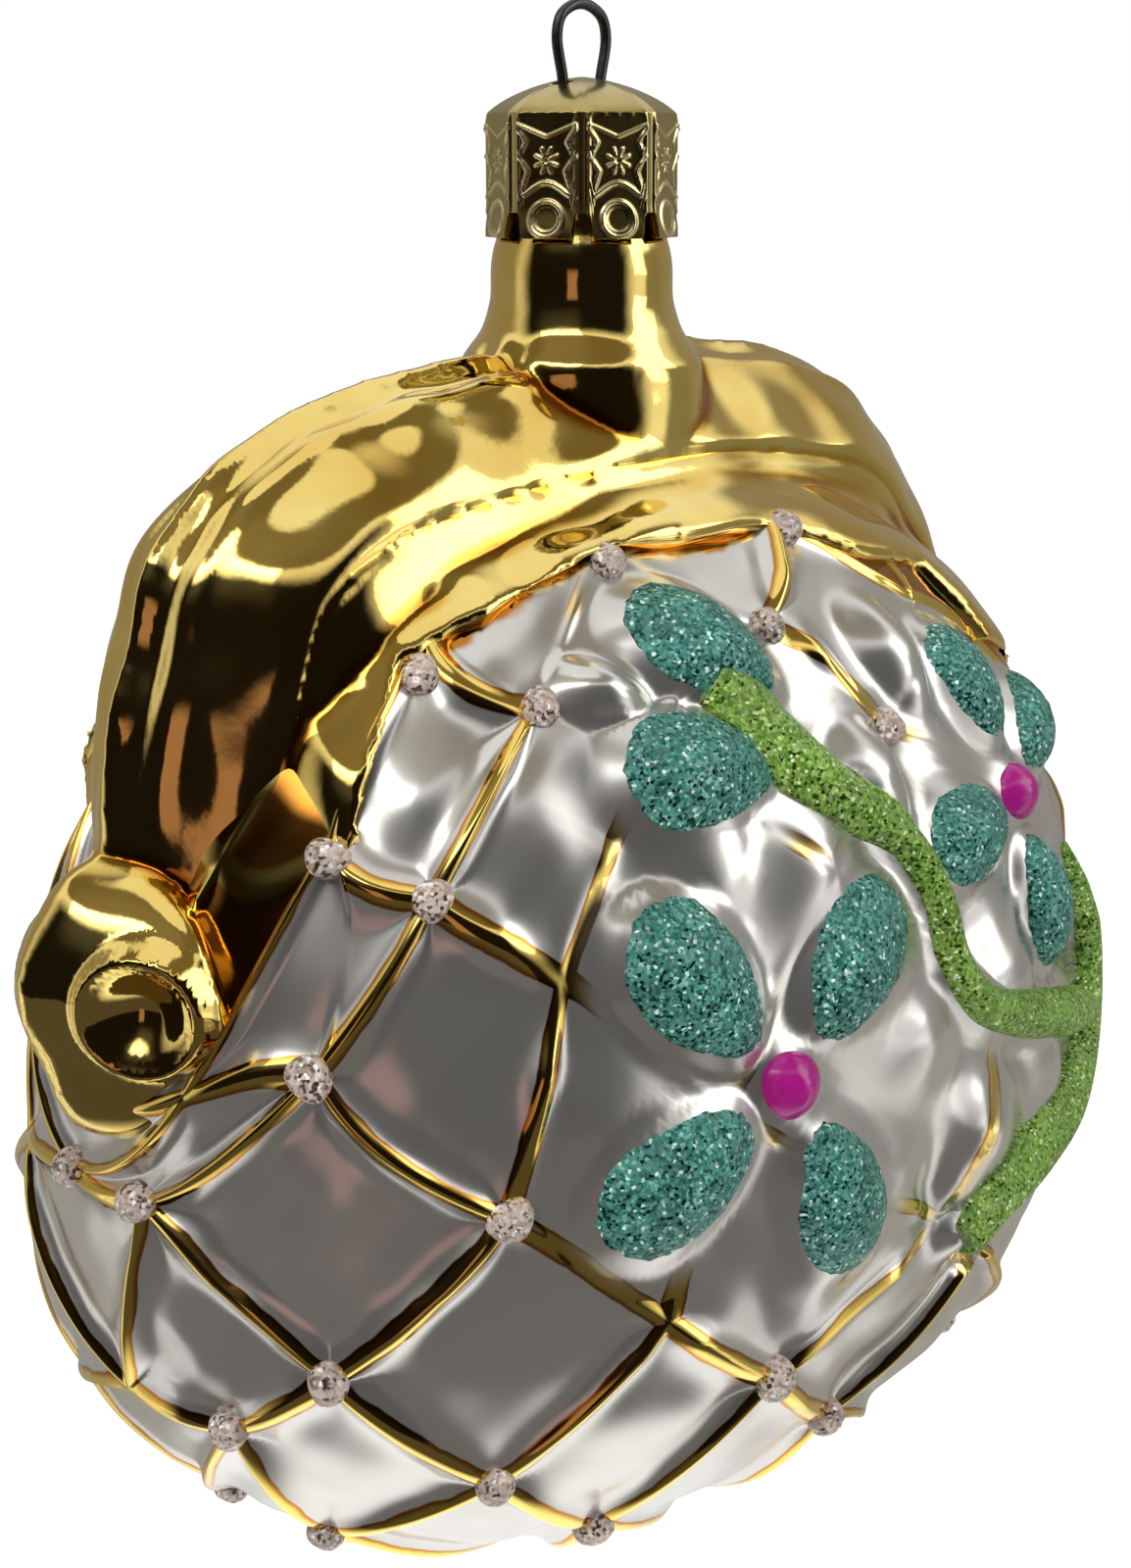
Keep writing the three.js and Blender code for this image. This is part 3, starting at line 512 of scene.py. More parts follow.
def lattice_place(row, column):
    turn, ratio = even_place(row, column)
    half = COLUMNS / 2
    for at_row, at_column, more_turn, more_ratio in CROSSING_SHIFTS:
        way_round = (column - at_column + half) % COLUMNS - half
        off_a = np.abs(row - at_row + way_round) / 2
        off_b = np.abs(row - at_row - way_round) / 2
        share = np.maximum(0, 1 - off_a) * np.maximum(0, 1 - off_b)
        turn = turn + share * more_turn
        ratio = ratio + share * more_ratio
    return turn, np.clip(ratio, -1, 1)


# The spray: places are shares of the bag across and up, angles say the way each petal points


def on_front(across, ratio):
    return np.array([across * BAG_HALF_WIDTH, EQUATOR_Z + ratio * (BAG_FALL if ratio < 0 else BAG_RISE)])


def petals_of(flower, across, ratio, size, angles):
    centre = on_front(across, ratio)
    petals = {}
    for way, angle in angles.items():
        aim = math.radians(angle)
        place = centre + size * PETAL_REACH * np.array([math.cos(aim), math.sin(aim)])
        petals[f"{flower}_petal_{way}"] = (place, angle, size)
    return petals


PETALS = {
    **petals_of("flower_one", -0.263, 0.202, 1,
                {"upper_left": 128, "upper_right": 42, "lower_left": -155, "lower_right": -66}),
    **petals_of("flower_two", 0.429, 0.473, 0.84,
                {"upper_left": 105, "upper_right": 22, "lower_left": -174, "lower_right": -80}),
    "bud_petal_upper": (on_front(-0.192, 0.778), 139, 0.95),
    "bud_petal_lower": (on_front(-0.296, 0.631), 175, 0.95),
}
CENTRES = {"flower_one_centre": on_front(-0.263, 0.202), "flower_two_centre": on_front(0.429, 0.473)}
PLAIN_LOBES = [
    (on_front(0.212, 0.722), 100, 1),
    (on_front(0.049, 0.559), 105, 1),
    (on_front(-0.386, 0.745), 160, 0.7),
]
BUD_STEM = [on_front(*place) for place in [
    (-0.17, 0.68), (-0.115, 0.62), (-0.041, 0.549), (0.061, 0.471), (0.106, 0.382), (0.122, 0.294),
    (0.184, 0.216), (0.296, 0.161), (0.449, 0.114), (0.592, 0.069), (0.684, 0.039),
]]
FLOWER_STEM = [on_front(*place) for place in [
    (0.575, 0.35), (0.645, 0.25), (0.684, 0.15), (0.684, 0.039), (0.582, -0.1), (0.398, -0.157),
    (0.224, -0.2), (0.153, -0.243),
]]
BUD_HEAD = on_front(-0.225, 0.725)
BUD_STEM_WIDTHS = [1.2, 3.0, 2.9, 2.1, 1.6, 1.5, 1.5, 1.6, 1.8, 1.9, 2.0, 2.1, 2.1, 1.9]
FLOWER_STEM_WIDTHS = [0.4, 1.1, 1.6, 2.0, 2.2, 2.4, 2.8, 3.3, 3.5, 3.2, 1.8]

# Soft swellings and hollows of the silvered glass between the petals: shares of the bag across and up,
# then radius and height in millimetres
SWELLINGS = [
    (-0.14, 0.485, 5.5, 1.6), (-0.59, 0.215, 4.5, 0.6), (0.215, -0.02, 4.6, 2.2), (0.05, 0.19, 3.5, 1.0),
    (-0.31, 0.53, 4.5, 0.8), (0.33, 0.22, 4.0, 1.2), (-0.03, -0.02, 4.0, 0.9), (0.47, 0.0, 4.0, 1.2),
    (-0.42, 0.36, 4.2, 0.9), (0.02, 0.33, 3.2, 0.9), (0.42, -0.12, 3.6, 0.9), (-0.2, -0.1, 4.2, 1.0),
]
HOLLOWS = [
    (-0.42, 0.49, 3.8, -0.8), (0.2, 0.3, 4.0, -0.9), (0.33, 0.08, 3.4, -0.9), (-0.13, 0.32, 3.2, -0.6),
    (-0.45, 0.13, 3.6, -0.6), (0.08, -0.13, 3.6, -0.6), (0.15, 0.6, 3.4, -0.6), (-0.05, 0.62, 3.2, -0.6),
]
BARE_SPOTS = [(0.3, -0.02), (0.4, -0.1), (0.25, -0.14), (0.52, 0.0), (0.42, 0.1), (0.33, 0.2)]


def spray_cover(turn, ratio, places, nearer=0):
    """1 right under the spray, 0 where the quilting is whole."""
    nearest = np.full(len(places), 1e3)
    spots = [(place, PETAL_COVER) for place, _, _ in PETALS.values()]
    spots += [(place, LOBE_COVER) for place, _, _ in PLAIN_LOBES]
    spots += [(place, STEM_COVER) for place in [*BUD_STEM, *FLOWER_STEM]]
    spots += [(on_front(*place), LOBE_COVER) for place in BARE_SPOTS]
    for (x, z), reach in spots:
        nearest = np.minimum(nearest, np.hypot(places[:, 0] - x, places[:, 2] - z) - reach + nearer)
    outside = (np.abs(wrap_turn(turn)) > 90) | (ratio < FIRST_COVER_RATIO)
    return np.where(outside, 0, np.clip(1 - nearest / COVER_FADE, 0, 1))


def lobe_rise(places, place, angle, length, width, height):
    """Height of an egg-shaped swelling whose wide end points away from the flower."""
    centre, along, side, out = laid_axes(place, angle)
    away = places - centre
    u = away @ along / (length / 2)
    v = away @ side / (width / 2) / (1 + EGG * np.clip(u, -1, 1))
    near = np.abs(away @ out) < 8
    dome = np.maximum(0, 1 - (u / 1.12) ** 2 - (v / 1.12) ** 2) ** 1.4
    return np.where(near, height * dome, 0)


def soft_bump(places, x, z, radius, height):
    gap = np.linalg.norm(places - front_point(x, z), axis=1)
    return height * np.exp(-((gap / radius) ** 2))


def stem_rise(places, stem, height, reach):
    line, _ = curve_through([front_point(*place) for place in stem], 70)
    gap = np.full(len(places), 1e3)
    for spot in line:
        gap = np.minimum(gap, np.linalg.norm(places - spot, axis=1))
    return height * np.exp(-((gap / reach) ** 2))


def spray_relief(places):
    """How far the glass stands out at places on the bag's smooth form, without the quilting."""
    total = np.zeros(len(places))
    near = places[:, 1] < -4
    spots = places[near]
    kinds = [(PETALS.values(), PETAL_LOBE), (PLAIN_LOBES, PLAIN_LOBE)]
    bumps = [lobe_rise(spots, place, angle, size * length, size * width, height)
             for lobes, (length, width, height) in kinds for place, angle, size in lobes]
    bumps += [soft_bump(spots, *place, *CENTRE_BUMP) for place in CENTRES.values()]
    bumps += [soft_bump(spots, *on_front(across, ratio), radius, height)
              for across, ratio, radius, height in SWELLINGS]
    bumps += [stem_rise(spots, stem, *STEM_RIDGE) for stem in (BUD_STEM, FLOWER_STEM)]
    lobes = np.zeros(len(spots))
    for bump in bumps:
        lobes = np.maximum(lobes, bump)
    for across, ratio, radius, depth in HOLLOWS:
        hollow = soft_bump(spots, *on_front(across, ratio), radius, depth)
        lobes = lobes + hollow * smoothstep(0.8, 0, lobes)
    total[near] = lobes
    return total


# Colours and nodes of the finishes


def srgb(code):
    """Linear colour from a hex code as painted."""
    values = [int(code[k:k + 2], 16) / 255 for k in (1, 3, 5)]
    return tuple(v / 12.92 if v <= 0.04045 else ((v + 0.055) / 1.055) ** 2.4 for v in values) + (1.0,)


def connect(tree, node, inputs):
    """Gives a node its inputs: each is a value, a socket to link from, or a node's first socket."""
    for socket, value in dict(inputs).items():
        if isinstance(value, bpy.types.Node):
            value = value.outputs[0]
        if isinstance(value, bpy.types.NodeSocket):
            tree.links.new(value, node.inputs[socket])
        else:
            node.inputs[socket].default_value = value


def add_node(tree, kind, inputs=(), **settings):
    node = tree.nodes.new("ShaderNode" + kind)
    for key, value in settings.items():
        setattr(node, key, value)
    connect(tree, node, inputs)
    return node


def new_material(name):
    """A material, its nodes, its main shader and the place on the piece to draw patterns by."""
    material = bpy.data.materials.new(name)
    material.use_nodes = True
    tree = material.node_tree
    spot = add_node(tree, "TexCoord").outputs["Object"]
    return material, tree, tree.nodes["Principled BSDF"], spot


def bare_material(name):
    """A material whose shader is still to come."""
    material = bpy.data.materials.new(name)
    material.use_nodes = True
    material.node_tree.nodes.remove(material.node_tree.nodes["Principled BSDF"])
    return material, material.node_tree


def gold_lacquer():
    """Amber lacquer over silvered glass: a true mirror, deeper and more orange where it pooled."""
    material, tree, shader, spot = new_material("gold_lacquer_on_silvered_glass")
    pooled = add_node(tree, "Attribute", attribute_name="pooling")
    cloud = add_node(tree, "TexNoise", {"Vector": spot, "Scale": 1 / (9 * MM), "Detail": 3})
    depth = add_node(tree, "Math", {0: cloud, 1: 0.55, 2: pooled.outputs["Fac"]}, operation="MULTIPLY_ADD")
    ramp = add_node(tree, "ValToRGB", {"Fac": depth})
    ramp.color_ramp.elements[0].position = 0.2
    ramp.color_ramp.elements[0].color = srgb("#f3da84")
    ramp.color_ramp.elements[1].position = 1.0
    ramp.color_ramp.elements[1].color = srgb("#b0641e")
    ramp.color_ramp.elements.new(0.5).color = srgb("#deb34e")
    grain = add_node(tree, "TexNoise", {"Vector": spot, "Scale": 1 / (1.4 * MM), "Detail": 2})
    skin = add_node(tree, "Bump", {"Height": grain, "Distance": 0.02 * MM, "Strength": 0.5})
    connect(tree, shader, {"Base Color": ramp, "Normal": skin, "Metallic": 1, "Roughness": 0.07})
    return material


def brushed_line(tree, wobble):
    """How far a place is from the quilting's grid, with a shaky edge, and where the gold is brushed."""
    cell = add_node(tree, "UVMap", uv_map="diamond")
    split = add_node(tree, "SeparateXYZ", {"Vector": cell})
    size = add_node(tree, "Attribute", attribute_name="side_mm")
    gilding = add_node(tree, "Attribute", attribute_name="gilding")
    past = add_node(tree, "Attribute", attribute_name="past_lip_mm")
    gaps = []
    for axis in "XY":
        share = split.outputs[axis]
        other = add_node(tree, "Math", {0: 1.0, 1: share}, operation="SUBTRACT")
        gaps.append(add_node(tree, "Math", {0: share, 1: other}, operation="MINIMUM"))
    gap = add_node(tree, "Math", {0: gaps[0], 1: gaps[1]}, operation="MINIMUM")
    away = add_node(tree, "Math", {0: gap, 1: size.outputs["Fac"]}, operation="MULTIPLY")
    shaky = add_node(tree, "Math", {0: wobble, 1: -0.7, 2: away}, operation="MULTIPLY_ADD")
    line = add_node(tree, "MapRange", {"Value": shaky, "From Min": 0.5, "From Max": 0.4})
    thread = add_node(tree, "Math", {0: line, 1: gilding.outputs["Fac"]}, operation="MULTIPLY")
    ragged = add_node(tree, "Math", {0: wobble, 1: 1.4, 2: past.outputs["Fac"]}, operation="MULTIPLY_ADD")
    lip = add_node(tree, "MapRange", {"Value": ragged, "From Min": 0.25, "From Max": 0.45})
    brushed = add_node(tree, "Math", {0: thread, 1: lip}, operation="MAXIMUM")
    return shaky, brushed


def satin_silver():
    """Silvered glass under a thin satin lacquer, with bright gold lines brushed along the ribs."""
    material, tree, shader, spot = new_material("satin_silvered_glass_with_gold_lines")
    wobble = add_node(tree, "TexNoise", {"Vector": spot, "Scale": 1 / (4 * MM), "Detail": 2})
    shaky, brushed = brushed_line(tree, wobble)
    edge = add_node(tree, "MapRange", {"Value": shaky, "From Min": 0.10, "From Max": 0.36})
    gold = add_node(tree, "Mix", {"Factor": edge, "A": srgb("#f3d472"), "B": srgb("#b87a30")},
                    data_type="RGBA")
    cloud = add_node(tree, "TexNoise", {"Vector": spot, "Scale": 1 / (12 * MM), "Detail": 4})
    silver = add_node(tree, "Mix", {"Factor": cloud, "A": srgb("#dcdad4"), "B": srgb("#c3bfb9")},
                      data_type="RGBA")
    colour = add_node(tree, "Mix",
                      {"Factor": brushed, "A": silver.outputs["Result"], "B": gold.outputs["Result"]},
                      data_type="RGBA")
    satin = add_node(tree, "MapRange",
                     {"Value": cloud, "From Min": 0.3, "From Max": 0.7, "To Min": 0.17, "To Max": 0.27})
    gloss = add_node(tree, "Mix", {"Factor": brushed, "A": satin, "B": 0.08}, data_type="FLOAT")
    haze = add_node(tree, "MapRange", {"Value": brushed, "To Min": 0.86, "To Max": 1.0})
    connect(tree, shader, {"Base Color": colour.outputs["Result"], "Roughness": gloss.outputs["Result"],
                           "Metallic": haze})
    return material


def stamped_tin():
    """Thin tinplate in a pale gold wash, satin from the rolling and paler on its raised stamped lines."""
    material, tree, shader, spot = new_material("pale_gold_washed_tinplate")
    cloud = add_node(tree, "TexNoise", {"Vector": spot, "Scale": 1 / (2.5 * MM), "Detail": 4})
    paler_where_raised = add_node(tree, "Attribute", attribute_name="raised")
    wash = add_node(tree, "Mix", {"Factor": cloud, "A": srgb("#c4b06e"), "B": srgb("#a3925a")},
                    data_type="RGBA")
    # paler on the raised stamped lines
    colour = add_node(tree, "Mix",
                      {"Factor": paler_where_raised.outputs["Fac"], "A": wash.outputs["Result"], "B": srgb("#efe3b4")},
                      data_type="RGBA")
    satin = add_node(tree, "MapRange", {"Value": cloud, "To Min": 0.15, "To Max": 0.27})
    connect(tree, shader, {"Base Color": colour.outputs["Result"], "Roughness": satin, "Metallic": 1})
    return material


def drawn_steel():
    """Darkened spring wire with faint lines from the drawing die."""
    material, tree, shader, spot = new_material("darkened_drawn_steel_wire")
    streak = add_node(tree, "TexNoise", {"Vector": spot, "Scale": 1 / (0.6 * MM), "Detail": 3})
    colour = add_node(tree, "Mix", {"Factor": streak, "A": srgb("#3a3a3d"), "B": srgb("#57565a")},
                      data_type="RGBA")
    skin = add_node(tree, "Bump", {"Height": streak, "Distance": 0.02 * MM})
    connect(tree, shader, {"Base Color": colour.outputs["Result"], "Normal": skin,
                           "Metallic": 1, "Roughness": 0.35})
    return material


def glitter(name, shades, grain_mm):
    """Foil grains in clear glue: each grain tilts its own way and is painted in a shade from dull to a
    flashing glint, so a few flash and most stay dull.
    """
    material, tree, shader, spot = new_material(name)
    grain = add_node(tree, "TexVoronoi", {"Vector": spot, "Scale": 1 / (grain_mm * MM)})
    drawn = add_node(tree, "SeparateColor", {"Color": grain.outputs["Color"]})
    # painted light: each grain gets a painted shade, from dull to a near-white painted glint, as if tilted
    # away from or towards the light
    ramp = add_node(tree, "ValToRGB", {"Fac": drawn.outputs["Red"]})
    ramp.color_ramp.interpolation = "CONSTANT"
    ramp.color_ramp.elements[0].color = srgb(shades[0])
    ramp.color_ramp.elements[1].position = GLITTER_SHARES[0]
    ramp.color_ramp.elements[1].color = srgb(shades[1])
    for place, shade in zip(GLITTER_SHARES[1:], shades[2:]):
        ramp.color_ramp.elements.new(place).color = srgb(shade)
    cloud = add_node(tree, "TexNoise", {"Vector": spot, "Scale": 1 / (3 * MM), "Detail": 3})
    shading = add_node(tree, "MapRange",
                       {"Value": cloud, "From Min": 0.3, "From Max": 0.7, "To Min": 0.72, "To Max": 1.12})
    colour = add_node(tree, "VectorMath", {0: ramp, 1: shading}, operation="MULTIPLY")
    drawn_tilt = {0: grain.outputs["Color"], 1: (0.5, 0.5, 0.5)}
    tilt = add_node(tree, "VectorMath", drawn_tilt, operation="SUBTRACT")
    lean = add_node(tree, "VectorMath", {0: tilt, "Scale": 0.9}, operation="SCALE")
    face = add_node(tree, "NewGeometry")
    leant = add_node(tree, "VectorMath", {0: face.outputs["Normal"], 1: lean}, operation="ADD")
    normal = add_node(tree, "VectorMath", {0: leant}, operation="NORMALIZE")
    foil = add_node(tree, "Math", {0: drawn.outputs["Green"], 1: 0.72}, operation="GREATER_THAN")
    connect(tree, shader, {"Base Color": colour, "Normal": normal, "Metallic": foil, "Roughness": 0.38})
    return material


def magenta_enamel():
    """A thick drop of gloss enamel: deep pink, wet looking, its shade varying at random."""
    material, tree, shader, spot = new_material("magenta_gloss_enamel")
    cloud = add_node(tree, "TexNoise", {"Vector": spot, "Scale": 1 / (1.6 * MM), "Detail": 3})
    colour = add_node(tree, "Mix", {"Factor": cloud, "A": srgb("#8d0f6c"), "B": srgb("#b51a86")},
                      data_type="RGBA")
    connect(tree, shader, {"Base Color": colour.outputs["Result"], "Roughness": 0.16})
    return material


# The bag


def bag_patches(steps):
    """Numbers, rows and columns of every diamond's points, and where they lie in it."""
    even = np.linspace(0, 1, steps + 1)
    share = even - 0.1 * np.sin(2 * math.pi * even)
    count = np.arange(steps + 1)
    keys, rows, columns = [], [], []
    for band in range(-HIDDEN_ROWS, LAST_ROW):
        for slant_a in range(DIAMONDS_AROUND):
            slant_b = band - slant_a
            a = slant_a + share[:, None] + 0 * share[None, :]
            b = slant_b + share[None, :] + 0 * share[:, None]
            number_a = slant_a * steps + count[:, None]
            number_b = slant_b * steps + count[None, :]
            down = number_a + number_b + HIDDEN_ROWS * steps
            keys.append(down * COLUMNS * steps + (number_a - number_b) % (COLUMNS * steps))
            rows.append(a + b)
            columns.append(a - b)
    return np.array(keys), np.array(rows), np.array(columns), share


def bag_grid():
    """Faces with their places in a diamond, and the row and column of every point of the bag."""
    keys, rows, columns, share = bag_patches(PATCH_STEPS)
    _, first, number = np.unique(keys.ravel(), return_index=True, return_inverse=True)
    row, column = rows.ravel()[first], columns.ravel()[first]
    number = number.reshape(len(keys), PATCH_STEPS + 1, PATCH_STEPS + 1)
    quads = [number[:, :-1, :-1], number[:, :-1, 1:], number[:, 1:, 1:], number[:, 1:, :-1]]
    faces = np.stack(quads, axis=-1).reshape(-1, 4)
    m, n = np.meshgrid(share[:-1], share[:-1], indexing="ij")
    m2, n2 = np.meshgrid(share[1:], share[1:], indexing="ij")
    corners = [np.stack(pair, axis=-1) for pair in [(m, n), (m, n2), (m2, n2), (m2, n)]]
    corner_uv = np.stack(corners, axis=-2)
    corner_uv = np.broadcast_to(corner_uv, (len(keys), *corner_uv.shape)).reshape(-1, 4, 2)
    shown = (row[faces].min(axis=1) < LAST_ROW) & (row[faces].max(axis=1) > -HIDDEN_ROWS)
    return faces[shown], corner_uv[shown], row, column


def diamond_sides(base, faces, corner_uv):
    """The side in millimetres of the diamond round each point."""
    a, b, c, d = (base[faces[:, k]] for k in range(4))
    area = np.linalg.norm(np.cross(c - a, d - b), axis=1) / 2
    cell = np.prod(corner_uv[:, 2] - corner_uv[:, 0], axis=1)
    scale = np.sqrt(area / cell)
    weight = np.bincount(faces.ravel(), minlength=len(base))
    return np.bincount(faces.ravel(), np.repeat(scale, 4), len(base)) / np.maximum(weight, 1)


def off_line(slant):
    return np.abs(slant - np.round(slant))


def back_tuck(turn, base):
    """How far the bag is drawn in behind the hinges."""
    away = (np.abs(wrap_turn(turn)) - BACK_TUCK_TURN) / BACK_TUCK_SPREAD
    depth = BACK_TUCK + BACK_TUCK_ABOVE * smoothstep(*BACK_TUCK_TOP, base[:, 2])
    return depth * np.exp(-(away**2)) * smoothstep(*BACK_TUCK_FOOT, base[:, 2])


def bag_relief(row, column, base, side, cover, near_foot, over):
    """How far the glass stands out: ribs with a bead, crowned panels, the spray's lobes and dents."""
    off_a, off_b = off_line((row + column) / 2), off_line((row - column) / 2)
    off = np.minimum(off_a, off_b) * side
    rib = np.exp(-((off / RIB_HALF_WIDTH) ** 2))
    bead = np.exp(-((off / BEAD_HALF_WIDTH) ** 2))
    pillow = PANEL_CROWN * (1 - (1 - 2 * off_a) ** 2 * 0.5 - (1 - 2 * off_b) ** 2 * 0.5)
    quilt = PANEL_DEPTH * (rib - 1) + BEAD_RISE * bead + pillow
    height = PLAIN_RELIEF + (quilt - PLAIN_RELIEF) * (1 - cover) * near_foot
    dents = sum(size * unevenness(base, wavelength, seed)
                for seed, (wavelength, size) in enumerate(BAG_DENTS, start=1))
    dents = dents * (1 - 0.8 * bead) * smoothstep(LAST_ROW, LAST_ROW - 2, row)
    return (height + spray_relief(base)) * (1 - over) + dents


def bag_skin(material):
    faces, corner_uv, row, column = bag_grid()
    turn, ratio = lattice_place(np.clip(row, -HIDDEN_ROWS, LAST_ROW), column)
    base = bag_point(turn, ratio)
    out = vertex_normals(base, faces)
    base = base - out * back_tuck(turn, base)[:, None]
    side = diamond_sides(base, faces, corner_uv)
    hidden = (row > LAST_ROW - 1) | (row < LIP_TOP_ROW)
    near_foot = smoothstep(LAST_ROW - 0.9, LAST_ROW - 1.6, row)
    past_lip = beyond_lip(row, column, turn, base, side)
    cover = np.where(hidden, 1, spray_cover(turn, ratio, base))
    over = smoothstep(-0.3, 0.9, past_lip)
    points = base + out * bag_relief(row, column, base, side, cover, near_foot, over)[:, None]

    piece = make_piece("quilted_bag", points, faces, material, "glass")
    layer = piece.data.uv_layers.new(name="diamond")
    layer.data.foreach_set("uv", corner_uv.ravel())
    bare = np.where(hidden, 1, spray_cover(turn, ratio, base, GILDING_NEARER))
    add_attribute(piece, "side_mm", side)
    add_attribute(piece, "gilding", (1 - smoothstep(0.35, 0.9, bare)) * near_foot)
    add_attribute(piece, "past_lip_mm", np.clip(past_lip, -3, 3))
    weld(piece)
    return points, out


def beyond_lip(row, column, turn, places, side):
    """How far in from its edge the frame's lip lies over the bag's front; negative on the open bag."""
    half = COLUMNS / 2
    across = (column + half) % COLUMNS - half
    left = (LIP_LEFT_SLANT - row - across) / 2
    right = (LIP_RIGHT_SLANT - row + across) / 2
    slant = np.maximum(left, right)
    above = (LIP_TOP_ROW - row) * 3
    front = (np.abs(wrap_turn(turn)) < 90) & (places[:, 2] > HINGE_Z - 3)
    return np.where(front, np.maximum(slant * side, above), -3)


def weld(piece):
    """Joins points that lie on each other at the foot and the top, and drops the faces this closes."""
    grid = bmesh.new()
    grid.from_mesh(piece.data)
    bmesh.ops.remove_doubles(grid, verts=grid.verts, dist=0.004 * MM)
    bmesh.ops.dissolve_degenerate(grid, edges=grid.edges, dist=0.004 * MM)
    loose = [vertex for vertex in grid.verts if not vertex.link_faces]
    bmesh.ops.delete(grid, geom=loose, context="VERTS")
    grid.to_mesh(piece.data)
    grid.free()


# The gold frame


def frame_path(count):
    end_x = HINGE_ACROSS + ARCH_END_OUT
    end_drop = HINGE_DOWN + ARCH_END_DROP
    sides = [[(across * end_x, 0, -FRAME_DROP - down * end_drop) for across, down in shares]
             for shares in (LEFT_ARCH, RIGHT_ARCH)]
    left = [(-x, y, z) for x, y, z in reversed(sides[0])]
    return curve_through([*left, (0, 0, -FRAME_DROP), *sides[1]], count)


def lip_depths(places, inward):
    """How far in from the frame's back the lattice line under its lip runs, along the frame."""
    corner = (LIP_LEFT_SLANT - LIP_TOP_ROW, LIP_RIGHT_SLANT)
    ends = [(LIP_TOP_ROW + 2.2, corner[0] - 2.2), (LIP_TOP_ROW, corner[0])]
    ends += [(LIP_TOP_ROW, LIP_TOP_ROW - corner[1]), (LIP_TOP_ROW + 2.2, LIP_TOP_ROW - corner[1] + 2.2)]
    stops = np.linspace(0, 3, 400)
    rows, columns = (np.interp(stops, np.arange(4), [end[k] for end in ends]) for k in (0, 1))
    line = bag_point(*lattice_place(rows, columns))
    away = line[None, :, :] - places[:, None, :]
    depth = np.sum(away * inward[:, None], axis=2)
    aside = np.abs(away[:, :, 0] * inward[:, None, 2] - away[:, :, 2] * inward[:, None, 0])
    aside = aside + np.where((depth > 0) & (depth < LIP_SEEK), 0, 99)
    nearest = np.argmin(aside, axis=1)
    found = depth[np.arange(len(places)), nearest]
    found = np.where(aside.min(axis=1) < 1.5, found, 0)
    found = np.clip(found, CREASE_DEPTH + LIP_LEAST, CREASE_DEPTH + LIP_MOST)
    soft = np.convolve(np.pad(found, 6, mode="edge"), np.full(13, 1 / 13), mode="valid")
    return soft


def sweep_frame():
    """The frame's bar: roof-like back, crease, lip that follows the bag, and a tail inside the bag."""
    places, along = frame_path(FRAME_STATIONS)
    inward = np.stack([along[:, 2], 0 * along[:, 0], -along[:, 0]], axis=1)
    lip = lip_depths(places, inward)
    turns = np.radians(np.linspace(0, 84, 15))
    power = 2 / BACK_ROUNDNESS
    back = [(CREASE_DEPTH * (1 - math.cos(t) ** power), CREASE_REACH * math.sin(t) ** power) for t in turns]
    furthest = LIP_REACH_ARMS + (LIP_REACH_TOP - LIP_REACH_ARMS) * smoothstep(*ARM_HEIGHTS, places[:, 2])
    taper = 1 - BACK_TAPER * smoothstep(HINGE_Z + 14, HINGE_Z - 2, places[:, 2])
    depths, reaches = [], []
    for depth, reach in back:
        depths.append(np.full(len(places), depth))
        reaches.append(np.full(len(places), reach))
    for share, stand in FRAME_BAND:
        depth = CREASE_DEPTH + share * (lip - CREASE_DEPTH)
        spot = places + inward * depth[:, None]
        bag = -np.nan_to_num(front_point(spot[:, 0], spot[:, 2])[:, 1])
        depths.append(depth)
        proud = stand * smoothstep(*FADE_HEIGHTS, places[:, 2]) if share < 1 else stand
        over_bag = np.minimum(bag + proud, furthest)
        plain = CREASE_REACH + BAND_SLOPE * share - (CREASE_SINK if share < 0.1 else 0)
        reaches.append(np.maximum(plain, over_bag) if share < 1 else over_bag)
    half = np.stack([np.array(depths), np.array(reaches)], axis=-1).transpose(1, 0, 2)
    rear = np.stack([np.array(depths), -np.array(reaches) * taper], axis=-1).transpose(1, 0, 2)
    section = np.concatenate([half, rear[:, :0:-1]], axis=1)
    forward = np.array([0, -1, 0])
    points = places[:, None] + inward[:, None] * section[:, :, :1] + forward * section[:, :, 1:]
    rings, count = points.shape[:2]
    faces = [list(face) for face in grid_faces(rings, count, closed=True)]
    faces += [list(range(count)), list(range((rings - 1) * count, rings * count))[::-1]]
    return points.reshape(-1, 3), faces


def hinge_end(side, around=48, rings=24):
    """Points and faces of a hinge end: round where the rivet sits, with blunt corners elsewhere."""
    half = HINGE_HALF
    turn = np.linspace(0, 2 * math.pi, around, endpoint=False)
    rise = np.linspace(-0.499 * math.pi, 0.499 * math.pi, rings)
    x = np.cos(rise)[:, None] * np.cos(turn) * half[0]
    y = np.cos(rise)[:, None] * np.sin(turn) * half[1]
    z = np.broadcast_to(np.sin(rise)[:, None], x.shape) * half[2]
    plan, whole = HINGE_PLAN_ROUNDNESS, HINGE_ROUNDNESS
    flat = (np.abs(x / half[0]) ** plan + np.abs(y / half[1]) ** plan) ** (1 / plan)
    share = 1 / (flat**whole + np.abs(z / half[2]) ** whole) ** (1 / whole)
    y = np.where(y > 0, HINGE_BACK, 1) * y
    down = z * share - HINGE_TIP * smoothstep(-0.35, -1, z / half[2])
    points = np.stack([x * share, y * share, down], axis=-1).reshape(-1, 3)
    return points + np.array([side * HINGE_ACROSS, 0, HINGE_Z]), ring_faces(rings, around)


